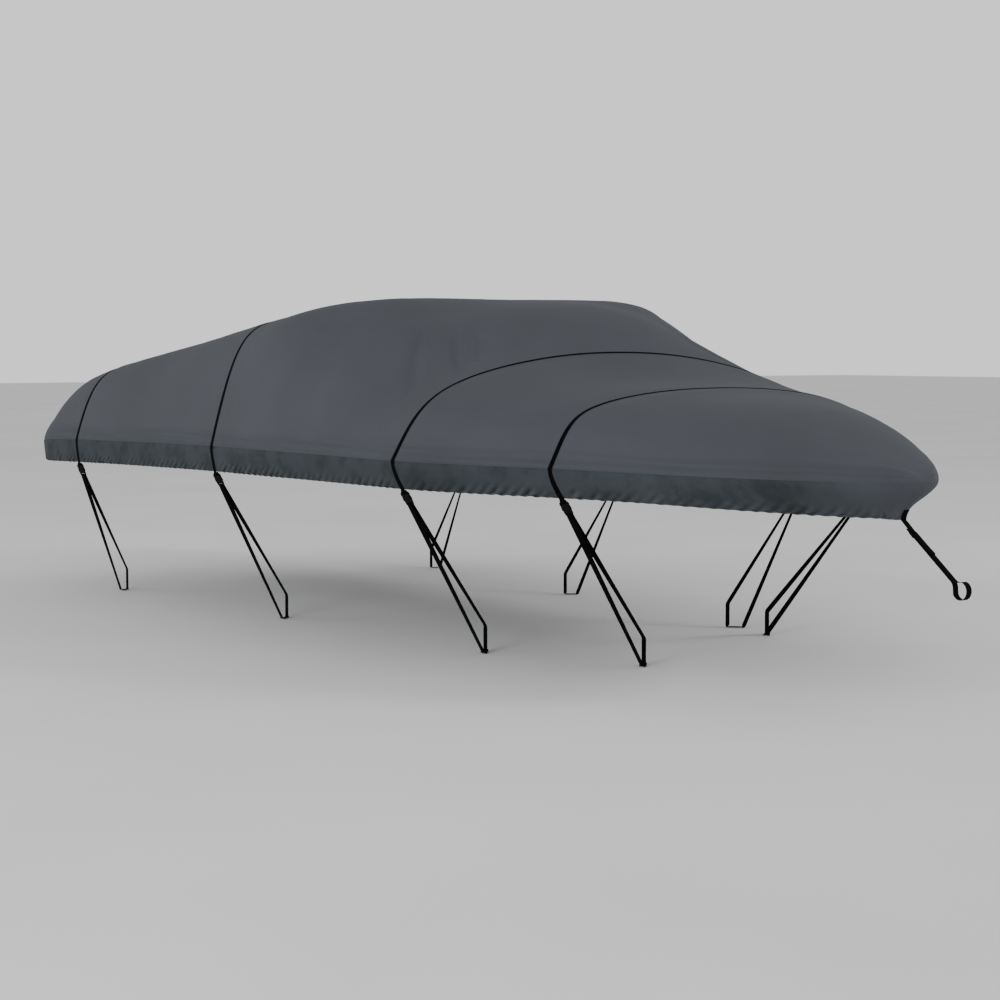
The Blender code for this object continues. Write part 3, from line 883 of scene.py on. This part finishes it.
def build_band():
    """The band with its hem, as one strip round the cover that closes on itself at the stern."""
    rows, metres, gathers = [], [], []
    for seam, normal, along, draw in zip(seam_points, seam_normals, seam_lengths, seam_draws):
        points, below, gathered = band_profile(seam, normal, along, draw)
        rows.append(points)
        metres.append([(along, -b) for b in below])
        gathers.append(gathered)
    rows.append(rows[0])
    gathers.append(gathers[0])
    metres.append([(seam_total, v) for _, v in metres[0]])
    bm = sheet_grid(rows, metres, mark="gathers", values=gathers)
    piece = link_mesh("band_fabric", bm, (band_fabric, lining_fabric))
    return thicken(piece, BAND_THICK, inner_material=1)


band_piece = build_band()

# %% [markdown]
# ## Webbing
#
# Polypropylene webbing, 25 mm wide and 1.6 mm thick, is woven in ribs across its length with a firm
# edge. A ribbon is a grid again: across it runs once round a flat section with rounded edges, and along
# it follows a path with its own width direction at every point, so it can lie on the cloth, hang free
# and turn a corner.

# %% Black webbing
# Metres to a radian of the waves as drawn: a rib every 18 mm, where real ones are about 1.5 mm apart.
RIB_RADIAN, CORD_RADIAN = 0.0028, 0.004


def black_webbing():
    """Ribs across the webbing and finer cords along it, with a little wear."""
    material = new_material("woven_polypropylene_black", Roughness=0.92, Specular_IOR_Level=0.06, IOR=1.49)
    coords = metres_of(material)
    ribs = bands_of(material, coords, RIB_RADIAN, "X", Distortion=0.4, Detail=1.0)
    cords = bands_of(material, coords, CORD_RADIAN, "Y", Distortion=0.2)
    height = maths(material, "ADD", ribs, cords)
    worn = noise_of(material, coords, 30.0, 4.0)
    colour = ramp(material, worn, (0.35, srgb("#050506")), (0.6, srgb("#08080a")), (0.8, srgb("#0d0d0f")))
    bump = add(material, "ShaderNodeBump", {"Height": height, "Strength": 0.35, "Distance": 0.0005})
    drive(material, Base_Color=colour, Normal=bump.outputs["Normal"])
    return material


webbing = black_webbing()

# %% Ribbons along a path
EDGE = WEB_THICK / 2
HALF = WEB_WIDTH / 2
# Section of the webbing as (across, out), once round; the sides are drawn in for the firm round edge.
WEB_SECTION = (
    (-HALF, 0.0), (-HALF + EDGE * 0.5, -EDGE * 0.85), (-HALF * 0.5, -EDGE), (HALF * 0.5, -EDGE),
    (HALF - EDGE * 0.5, -EDGE * 0.85), (HALF, 0.0), (HALF - EDGE * 0.5, EDGE * 0.85), (HALF * 0.5, EDGE),
    (-HALF * 0.5, EDGE), (-HALF + EDGE * 0.5, EDGE * 0.85), (-HALF, 0.0),
)
UNDERSIDE = 0.1            # metres that the underside's weave is set aside in the map
# A stop's width is a share of the full width: webbing draws in a little where it is pulled over the cloth.
Stop = namedtuple("Stop", ("point", "across", "width"), defaults=(1.0,))
Ribbon = namedtuple("Ribbon", ("piece", "length", "width"))


def ribbon(name, stops, material, closed=False):
    """Webbing through a list of stops. Gives the piece, its length and its mean width."""
    count = len(stops)
    rows, metres, along, area = [], [], 0.0, 0.0
    order = list(range(count)) + ([0] if closed else [])
    for n, k in enumerate(order):
        before = stops[k - 1] if closed or k else stops[0]
        after = stops[(k + 1) % count] if closed or k + 1 < count else stops[-1]
        run = (after.point - before.point).normalized()
        across = (stops[k].across - run * stops[k].across.dot(run)).normalized()
        out = across.cross(run)
        if n:
            step = (stops[k].point - stops[order[n - 1]].point).length
            along += step
            area += step * WEB_WIDTH * (stops[k].width + stops[order[n - 1]].width) / 2
        rows.append([stops[k].point + across * (a * stops[k].width) + out * b for a, b in WEB_SECTION])
        metres.append([(along, a + (UNDERSIDE if j > 5 else 0.0)) for j, (a, _) in enumerate(WEB_SECTION)])
    bm = sheet_grid(rows, metres)
    bmesh.ops.holes_fill(bm, edges=[e for e in bm.edges if e.is_boundary], sides=0)
    bmesh.ops.recalc_face_normals(bm, faces=bm.faces[:])
    return Ribbon(link_mesh(name, bm, (material,), smooth_angle=50), along, area / along)


MOST_CUT = 0.45            # share of a path's leg that a corner's arc may take
CORNER_STEPS = 4


def rounded(points, radius):
    """The same path with each inner corner turned on an arc of about this radius."""
    path = [points[0]]
    for before, corner, after in zip(points, points[1:], points[2:]):
        into, out = (before - corner), (after - corner)
        cut = min(radius, into.length * MOST_CUT, out.length * MOST_CUT)
        a, b = corner + into.normalized() * cut, corner + out.normalized() * cut
        for k in range(CORNER_STEPS + 1):
            t = k / CORNER_STEPS
            path.append(a * (1 - t) ** 2 + corner * (2 * t * (1 - t)) + b * t * t)
    return path + [points[-1]]


def half_turn(centre, start, through, radius):
    """Seven points half round a bar, from the start direction by way of another."""
    return [centre + (start * math.cos(t) + through * math.sin(t)) * radius
            for t in (math.radians(degrees) for degrees in range(0, 181, 30))]


# %% [markdown]
# ## Cross straps
#
# Each strap lies on the cloth from hem to hem. Its two edges are found on the surface itself, one to
# each side of its station, so it leans with the cloth under it. Below the hem it goes straight on
# towards the foot of its loop, turns round the top bar of the buckle and ends behind itself.

# %% Feet of the loops
# Each loop goes down to a foot: its station, its outer distance from the centre line, and its lean aft.
Loop = namedtuple("Loop", ("strap", "side", "x", "foot_y", "lean"))
LOOPS = (
    Loop(1, -1, 0.67, 0.902, 0.020),
    Loop(1, +1, 0.67, 0.902, 0.020),
    Loop(2, -1, 2.03, 0.780, 0.036),
    Loop(2, +1, 2.03, 0.780, 0.036),
    Loop(3, -1, 3.35, 0.645, 0.050),
    Loop(3, +1, 3.35, 0.645, 0.050),
    Loop(4, -1, 3.95, 0.362, 0.045),
    Loop(4, +1, 3.54, 0.605, -0.045),
)
FOOT_WIDTH = 0.042
FOOT_TOP, FOOT_BOTTOM = -0.645, -0.740
SIDE_NAMES = {-1: "starboard", 1: "port"}
Pull = namedtuple("Pull", ("down", "across", "out"))
BUCKLE_TWIST = math.radians(20)      # buckles hang with their faces turned a little towards the bow


def loop_name(loop):
    return f"{loop.strap}_{SIDE_NAMES[loop.side]}"


def node_middle(node):
    low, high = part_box(node)
    return (Vector(low) + Vector(high)) / 2


def strap_pull(loop, twist=BUCKLE_TWIST):
    """Directions of a loop's buckle: down the pull, across it and out of the cover, turned to the bow."""
    seam, normal = edge_at(STRAP_STATIONS[loop.strap - 1], loop.side)
    hem = band_point(seam, normal, 1.0)
    foot = Vector((hem.x, loop.side * (loop.foot_y - FOOT_WIDTH / 2), FOOT_BOTTOM - ORIGIN.z))
    down = (foot - hem).normalized()
    across = Vector((1.0, 0.0, 0.0))
    out = across.cross(down) * loop.side
    return Pull(down, across * math.cos(twist) - out * math.sin(twist),
                out * math.cos(twist) + across * math.sin(twist))


# %% Cross straps
WEB_LIFT = 0.0006 + WEB_THICK / 2
STRAP_DROPS = (1.0, 0.85, 0.7, 0.55, 0.4, 0.25, 0.12, 0.03)  # rows of the strap from the hem to the seam
# Shares of the full width: webbing draws in and cups where it is tight over the side, more so over the top.
HEM_WIDTH = 0.85
SIDE_WIDTHS = (0.80, 0.76, 0.68, 0.62)
TOP_WIDTHS = (0.62, 0.55, 0.34, 0.42)
# Rows from the hem, counted in those of the band: by where the side's width is reached, and then the top's.
TIGHT_BY = 0.8
OVER_FROM, OVER_TO = 3.2, 5.4
BUCKLE_LENGTH, PRONG_LENGTH = 0.034, 0.020
TOP_BAR = 0.0035           # the buckle's top bar, down from its upper end
TOP_TURN = 0.0026          # radius on which webbing turns round such a bar
TAIL_ABOVE, TAIL_BEHIND = 0.006, 0.010         # how far up from that bar the strap's tail starts and ends
# Pulled tight, a strap cuts the corner of the side: its number, most forward sway and how far up it goes.
SWAYS = {3: (0.012, 0.36), 4: (0.016, 0.30)}
SWAY_GAIN = 1.72           # brings the highest value of the sway's curve to 1


def sway(number, up):
    """How far forward of its station a strap lies, at a height up the cloth."""
    most, span = SWAYS.get(number, (0.0, 1.0))
    t = min(1.0, up / span)
    return most * SWAY_GAIN * math.sin(math.pi * t) * (1 - t)


def surface_pair(x, side, drop=None, across=None):
    """The two points of the cover under a strap's edges."""
    pair = []
    for d in (-HALF, HALF):
        if drop is None:
            pair.append(top_point(x + d, across))
        else:
            pair.append(band_point(*edge_at(x + d, side), drop))
    return pair


def strap_stops(number):
    """Stops of a strap from the starboard hem over the cover to the port hem."""
    station = STRAP_STATIONS[number - 1]
    side_width, top_width = SIDE_WIDTHS[number - 1], TOP_WIDTHS[number - 1]
    pairs = [surface_pair(station, -1, drop=d) for d in STRAP_DROPS]
    shares, ups = spaced_shares(section_at(station))
    pairs += [surface_pair(station + sway(number, up), 0, across=a) for a, up in zip(shares, ups)]
    pairs += [surface_pair(station, 1, drop=d) for d in reversed(STRAP_DROPS)]
    middles = [(a + b) / 2 for a, b in pairs]
    stops = []
    for k, (a, b) in enumerate(pairs):
        run = middles[min(k + 1, len(pairs) - 1)] - middles[max(k - 1, 0)]
        across = (b - a).normalized()
        out = across.cross(run).normalized()
        from_hem = min(k, len(pairs) - 1 - k) / len(STRAP_DROPS)
        tight = smooth_step(from_hem, 0.0, TIGHT_BY)
        over = smooth_step(from_hem, OVER_FROM, OVER_TO)
        width = (1.0 - tight) * HEM_WIDTH + tight * ((1 - over) * side_width + over * top_width)
        stops.append(Stop(middles[k] + out * WEB_LIFT, across, width))
    return stops


def strap_tail(loop):
    """From the hem down the pull, round the buckle's top bar and a short way back up behind it."""
    pull = strap_pull(loop)
    top = node_middle(f"buckle_{loop_name(loop)}") - pull.down * (BUCKLE_LENGTH / 2)
    bar = top + pull.down * TOP_BAR
    path = [bar - pull.down * TAIL_ABOVE + pull.out * TOP_TURN]
    path += half_turn(bar, pull.out, pull.down, TOP_TURN)
    path.append(bar - pull.down * TAIL_BEHIND - pull.out * TOP_TURN)
    return [Stop(point, pull.across) for point in path]


def build_cross_strap(number):
    starboard, port = (loop for loop in LOOPS if loop.strap == number)
    stops = strap_stops(number)
    stops = list(reversed(strap_tail(starboard))) + stops + strap_tail(port)
    return ribbon(f"cross_webbing_{number}", stops, webbing)


cross_straps = [build_cross_strap(number) for number in (1, 2, 3, 4)]
print("cross straps, metres and mean widths",
      [(round(strap.length, 2), round(strap.width, 4)) for strap in cross_straps])

# %% [markdown]
# ## Loop straps
#
# A loop leaves the bar of the prong half, goes round its foot and comes back to the same bar. It is
# pulled taut, so it runs straight and turns only at the foot's corners and at the bar.

# %% Loop straps
BAR_DROP = 0.0165          # the prong half's bar, down from its upper end
BAR_TURN = 0.0036
LEG_STEPS = 14
FOOT_TURN = 0.007          # radius of the foot's corners


def leg_stops(loop, bar, foot):
    """A leg from the buckle's bar to the foot: it leaves turned as the buckle is, and ends untwisted."""
    stops = []
    for k in range(1, LEG_STEPS):
        t = k / LEG_STEPS
        turned = strap_pull(loop, BUCKLE_TWIST * (1 - smooth_step(t, 0.0, 1.0)))
        stops.append(Stop(bar.lerp(foot, t), turned.across))
    return stops


def build_loop(loop):
    pull = strap_pull(loop)
    bar = node_middle(f"prong_{loop_name(loop)}") + pull.down * (BAR_DROP - PRONG_LENGTH / 2)
    x = loop.x - ORIGIN.x
    outer, inner = loop.side * loop.foot_y, loop.side * (loop.foot_y - FOOT_WIDTH)
    top, bottom = FOOT_TOP - ORIGIN.z, FOOT_BOTTOM - ORIGIN.z
    wrap = half_turn(bar, -pull.out, -pull.down, BAR_TURN)
    feet = [
        wrap[-1],
        Vector((x, outer, bottom)),
        Vector((x - loop.lean, inner, bottom)),
        Vector((x - loop.lean, inner, top)),
        wrap[0],
    ]
    turns = rounded(feet, FOOT_TURN)[1:-1]
    straight = strap_pull(loop, 0.0).across
    stops = [Stop(point, pull.across) for point in wrap]
    stops += leg_stops(loop, wrap[-1], turns[0])
    stops += [Stop(point, straight) for point in turns]
    stops += reversed(leg_stops(loop, wrap[0], turns[-1]))
    return ribbon(f"loop_webbing_{loop_name(loop)}", stops, webbing, closed=True)


loop_straps = [build_loop(loop) for loop in LOOPS]
print("loop straps, metres", [round(strap.length, 2) for strap in loop_straps])

# %% [markdown]
# ## Moulded nylon
#
# Buckles are injection-moulded nylon: near black, with a fine satin grain from the mould and edges that
# are always a little round. Each is a plate with windows, so a flat grid loses the faces of its
# windows, is pulled to its thickness, and then has every sharp edge bevelled.

# %% Moulded nylon
def moulded_nylon():
    """Near black, with a satin grain from the mould."""
    material = new_material("injection_moulded_nylon_black", Roughness=0.55, IOR=1.53,
                            Specular_IOR_Level=0.1)
    space = space_of(material)
    grain = noise_of(material, space, 900.0, 2.0)
    rubbed = noise_of(material, space, 60.0, 3.0)
    colour = ramp(material, rubbed, (0.35, srgb("#050506")), (0.75, srgb("#0b0b0d")))
    rough = mapped(material, rubbed, (0.0, 1.0), (0.46, 0.64))
    bump = add(material, "ShaderNodeBump", {"Height": grain, "Strength": 0.15, "Distance": 0.0002})
    drive(material, Base_Color=colour, Roughness=rough, Normal=bump.outputs["Normal"])
    return material


nylon = moulded_nylon()
SHARP_EDGE = math.radians(35)        # edges that turn by more than this are rounded
BODY_EDGE, FINE_EDGE = 0.0007, 0.0006          # radius of the rounding on buckle bodies, and on the rest
# A level of a moulding: how far down it is, half its thickness, and its width as a share.
Level = namedtuple("Level", ("down", "half_thick", "narrow"))


def plate(columns, levels, windows):
    """A moulded plate in (across, out, down). windows are (level, column) faces that are left open."""
    bm = bmesh.new()
    bmesh.ops.create_grid(bm, x_segments=len(columns) - 1, y_segments=len(levels) - 1, size=1.0)
    place = {vert: divmod(k, len(columns)) for k, vert in enumerate(bm.verts)}
    open_faces = []
    for face in bm.faces:
        spots = [place[vert] for vert in face.verts]
        if (min(i for i, _ in spots), min(j for _, j in spots)) in windows:
            open_faces.append(face)
    thick = {}
    for vert, (i, j) in place.items():
        level = levels[i]
        vert.co = (columns[j] * level.narrow, level.half_thick, level.down)
        thick[round(level.down, 6)] = level.half_thick
    bmesh.ops.delete(bm, geom=open_faces, context="FACES")
    pulled = bmesh.ops.extrude_face_region(bm, geom=bm.faces[:])
    for item in pulled["geom"]:
        if isinstance(item, bmesh.types.BMVert):
            item.co.y = -thick[round(item.co.z, 6)]
    bmesh.ops.recalc_face_normals(bm, faces=bm.faces[:])
    return bm


def moulded(name, bm, edge, top, directions):
    """Rounds the sharp edges of a moulding and turns its (across, out, down) into the row's frame."""
    bm.normal_update()
    sharp = [e for e in bm.edges if len(e.link_faces) == 2 and e.calc_face_angle(0) > SHARP_EDGE]
    bmesh.ops.bevel(bm, geom=sharp, offset=edge, segments=2, affect="EDGES", profile=0.5, material=-1,
                    clamp_overlap=True)
    for vert in bm.verts:
        across, out, down = vert.co
        vert.co = top + directions.across * across + directions.out * out + directions.down * down
    bmesh.ops.recalc_face_normals(bm, faces=bm.faces[:])
    return link_mesh(name, bm, (nylon,), smooth_angle=40)


# %% Buckle bodies
BODY_COLUMNS = (-0.019, -0.0152, -0.010, 0.010, 0.0152, 0.019)
BODY_LEVELS = (
    Level(0.0, 0.0022, 0.90),
    Level(0.0032, 0.0022, 0.97),
    Level(0.0075, 0.0030, 1.0),
    Level(0.0120, 0.0045, 1.0),
    Level(0.0270, 0.0045, 1.0),
    Level(0.0340, 0.0042, 0.97),
)
BODY_WINDOWS = {(1, 1), (1, 2), (1, 3), (3, 0), (3, 4)}
PANEL_HALF, PANEL_FROM, PANEL_TO = 0.009, 0.012, 0.027       # the middle of each face is sunk
PANEL_RIM, PANEL_SINK = 0.0016, 0.0007


def is_panel(face):
    middle = face.calc_center_median()
    return abs(face.normal.y) > 0.9 and abs(middle.x) < PANEL_HALF and PANEL_FROM < middle.z < PANEL_TO


def build_buckle(loop):
    pull = strap_pull(loop)
    bm = plate(BODY_COLUMNS, BODY_LEVELS, BODY_WINDOWS)
    panels = [face for face in bm.faces if is_panel(face)]
    bmesh.ops.inset_individual(bm, faces=panels, thickness=PANEL_RIM, depth=-PANEL_SINK)
    top = node_middle(f"buckle_{loop_name(loop)}") - pull.down * (BUCKLE_LENGTH / 2)
    return moulded(f"buckle_body_{loop_name(loop)}", bm, BODY_EDGE, top, pull)


buckle_pieces = [build_buckle(loop) for loop in LOOPS]

# %% Prong halves
PRONG_COLUMNS = (-0.017, -0.0128, 0.0128, 0.017)
PRONG_LEVELS = (
    Level(0.0, 0.0035, 0.94),
    Level(0.0060, 0.0035, 1.0),
    Level(0.0105, 0.0028, 1.0),
    Level(0.0148, 0.0022, 1.0),
    Level(0.0192, 0.0022, 0.94),
)
PRONG_WINDOWS = {(2, 1)}
ARM_REACH = 0.0215         # how far the arms go up into the body
ARM_PLACE = 0.0165
ARM_WIDTH, ARM_THICK, ARM_BOW, ARM_STEPS = 0.0026, 0.0058, 0.0014, 6
ARM_FOOT = 0.001           # the arms start this far down in the prong half


def add_arm(bm, side):
    """One springy arm, bowed outwards where a thumb presses it."""
    made = bmesh.ops.create_grid(bm, x_segments=1, y_segments=ARM_STEPS, size=1.0)["verts"]
    faces = {face for vert in made for face in vert.link_faces}
    for vert in made:
        t = (vert.co.y + 1) / 2
        bow = ARM_BOW * math.sin(math.pi * t)
        across = side * (ARM_PLACE + vert.co.x * ARM_WIDTH / 2 + bow)
        vert.co = (across, ARM_THICK / 2, ARM_FOOT - t * ARM_REACH)
    pulled = bmesh.ops.extrude_face_region(bm, geom=list(faces))
    for item in pulled["geom"]:
        if isinstance(item, bmesh.types.BMVert):
            item.co.y = -ARM_THICK / 2


def build_prong(loop):
    pull = strap_pull(loop)
    bm = plate(PRONG_COLUMNS, PRONG_LEVELS, PRONG_WINDOWS)
    for side in (-1, 1):
        add_arm(bm, side)
    top = node_middle(f"prong_{loop_name(loop)}") - pull.down * (PRONG_LENGTH / 2)
    return moulded(f"prong_half_{loop_name(loop)}", bm, FINE_EDGE, top, pull)


prong_pieces = [build_prong(loop) for loop in LOOPS]

# %% [markdown]
# ## Bow fastening
#
# At the nose a short tab of webbing is sewn to the band. A ladder-lock hangs from it, and the bow strap
# runs through the lock, down round a bight and back, with its spare end lying along it.

# %% Bow directions
BOW_TAB_END = Vector((4.915, 0.0, -0.2025)) - ORIGIN
BOW_PULL_END = Vector((5.110, 0.0, -0.355)) - ORIGIN
BIGHT_RADIUS, BIGHT_DEPTH = 0.030, 0.036
BIGHT_DEGREES, BIGHT_STEPS = 115, 8            # for each half of its arc
ADJUSTER_LENGTH = 0.030
ATHWART = Vector((0.0, 1.0, 0.0))

bow_down = (BOW_PULL_END - BOW_TAB_END).normalized()
bow_pull = Pull(bow_down, ATHWART, bow_down.cross(ATHWART).normalized())
bow_lock_top = BOW_TAB_END + bow_down * SEAM_GAP

# %% Bow tab
TAB_LIFT = 0.0014 + EDGE   # clear of the band's gathers
TAB_DROPS = (0.72, 0.78, 0.84, 0.90, 0.96)     # where it is sewn down, as shares of the drop
TAB_FREE, TAB_BEHIND = 0.012, 0.020            # how far it hangs free below the hem, and goes back up
LOCK_BAR = 0.0022          # the lock's upper bar, down from its upper end


def build_bow_tab():
    """Sewn to the band at the nose, round the lock's upper bar and a short way back."""
    nose = Vector((LENGTH, 0.0, section_point(section_at(LENGTH), 0.0).z)) - ORIGIN
    forward = Vector((1.0, 0.0, 0.0))
    lift = forward * TAB_LIFT
    sewn = [band_point(nose, forward, d) + lift for d in TAB_DROPS]
    hem = band_point(nose, forward, 1.0) + lift
    wrap = half_turn(bow_lock_top + bow_down * LOCK_BAR, bow_pull.out, bow_down, TOP_TURN)
    path = sewn + [hem, hem + bow_down * TAB_FREE] + wrap + [wrap[-1] - bow_down * TAB_BEHIND]
    stops = [Stop(point, -ATHWART) for point in path]
    return ribbon("bow_tab_webbing", stops, webbing)


bow_tab = build_bow_tab()

# %% Ladder-lock
LOCK_COLUMNS = (-0.017, -0.0132, 0.0132, 0.017)
LOCK_LEVELS = (
    Level(0.0, 0.0018, 0.96),
    Level(0.0040, 0.0018, 1.0),
    Level(0.0095, 0.0024, 1.0),
    Level(0.0135, 0.0024, 1.0),
    Level(0.0200, 0.0024, 1.0),
    Level(0.0245, 0.0028, 1.0),
    Level(0.0298, 0.0018, 0.92),
)
LOCK_WINDOWS = {(1, 1), (3, 1)}

bow_lock_piece = moulded("bow_ladder_lock", plate(LOCK_COLUMNS, LOCK_LEVELS, LOCK_WINDOWS), FINE_EDGE,
                         bow_lock_top, bow_pull)

# %% Bow strap
SPARE_END = 0.085
SPARE_LIFTS = (0.0046, 0.0050, 0.0062)         # how far the spare end stands off, from the lock to its tip
CROSS_BAR = 0.0116         # the lock's middle bar, down from its upper end
CROSS_TURN = 0.0034
HALF_SPREAD = 0.002        # how far each leg lies from the middle of the pull
LEG_START, LEG_BEND = 0.01, 0.012


def build_bow_strap():
    """From the spare end over the lock's middle bar, down one leg, round the bight and up the other."""
    out = bow_pull.out
    start = bow_lock_top + bow_down * (ADJUSTER_LENGTH + SEAM_GAP + EDGE)
    spread = out * HALF_SPREAD
    centre = BOW_PULL_END + bow_down * BIGHT_DEPTH
    turns = [math.radians(BIGHT_DEGREES * (k / BIGHT_STEPS - 1)) for k in range(2 * BIGHT_STEPS + 1)]
    arc = [centre + (bow_down * math.cos(t) + out * math.sin(t)) * BIGHT_RADIUS for t in turns]
    near, middle, tip = SPARE_LIFTS
    path = [start + out * tip + bow_down * SPARE_END, start + out * middle + bow_down * SPARE_END * 0.5,
            start + out * near]
    path += half_turn(bow_lock_top + bow_down * CROSS_BAR, out, -bow_down, CROSS_TURN)
    path += [start - spread]
    path += rounded([start - spread + bow_down * LEG_START, BOW_PULL_END - spread, arc[0]], LEG_BEND)[1:]
    path += arc[1:-1] + rounded([arc[-1], BOW_PULL_END + spread, start + spread], LEG_BEND)
    stops = [Stop(point, ATHWART) for point in path]
    return ribbon("bow_webbing", stops, webbing)


bow_strap = build_bow_strap()
print("bow tab and bow strap, metres", round(bow_tab.length, 3), round(bow_strap.length, 3))

# %% [markdown]
# ## What each piece stands for
#
# Every new piece rides on the one body and hides the solids it replaces.


def settle(piece, slot, *nodes):
    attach(piece, "root")
    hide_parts(*nodes)


settle(top_piece, "top_fabric", "top_cloth")
settle(band_piece, "band_fabric", "skirt_cloth")
for number, strap in enumerate(cross_straps, start=1):
    settle(strap.piece, "webbing", f"cross_strap_{number}")
for loop, strap, buckle, prong in zip(LOOPS, loop_straps, buckle_pieces, prong_pieces):
    name = loop_name(loop)
    settle(strap.piece, "webbing", f"loop_strap_{name}")
    settle(buckle, "moulding", f"buckle_{name}")
    settle(prong, "moulding", f"prong_{name}")
settle(bow_tab.piece, "webbing", "bow_tab")
settle(bow_lock_piece, "moulding", "bow_adjuster")
settle(bow_strap.piece, "webbing", "bow_strap")


# %% [markdown]
# ## Floor and light
#
# A pale floor just below the feet of the loops, and broad soft light: most of it from the side that the
# camera sees, less from above, so that the side of the cover is as light as its top.

# %% Floor
FLOOR_GAP, FLOOR_SIZE = 0.003, 60.0


def build_floor():
    bm = bmesh.new()
    bmesh.ops.create_grid(bm, x_segments=1, y_segments=1, size=FLOOR_SIZE)
    for vert in bm.verts:
        vert.co.z = cad_low[2] - FLOOR_GAP
    material = new_material("matt_white_paint", Roughness=0.9)
    cloudy = noise_of(material, space_of(material), 0.7, 3.0)
    colour = ramp(material, cloudy, (0.3, srgb("#ececec")), (0.7, srgb("#f4f4f4")))
    drive(material, Base_Color=colour)
    floor = link_mesh("floor", bm, (material,))


build_floor()

# %% Light
def add_softbox(name, place, target, size, watts):
    data = bpy.data.lights.new(name, "AREA")
    data.shape = "RECTANGLE"
    data.size, data.size_y = size
    data.energy = watts
    lamp = bpy.data.objects.new(name, data)
    lamp.location = place
    lamp.rotation_euler = (Vector(target) - Vector(place)).to_track_quat("-Z", "Y").to_euler()
    bpy.context.scene.collection.objects.link(lamp)


HORIZON, ZENITH = 1.05, 0.45         # strength of the light from the walls and from the ceiling

world = bpy.data.worlds.new("studio")
world.use_nodes = True
direction = add(world, "ShaderNodeTexCoord").outputs["Generated"]
height = add(world, "ShaderNodeSeparateXYZ", {"Vector": direction}).outputs["Z"]
strength = mapped(world, height, (0.15, 0.9), (HORIZON, ZENITH))
background = world.node_tree.nodes["Background"]
background.inputs["Color"].default_value = srgb("#ffffff")
world.node_tree.links.new(strength, background.inputs["Strength"])
bpy.context.scene.world = world
add_softbox("key", (5.0, -9.0, 1.2), (0.0, 0.0, -0.4), (2.6, 2.6), 300.0)
add_softbox("raking", (-5.5, -6.5, 2.6), (0.8, -0.6, -0.5), (1.6, 1.6), 95.0)
add_softbox("rim", (6.5, 7.5, 4.5), (0.8, 0.0, -0.3), (2.0, 2.0), 330.0)
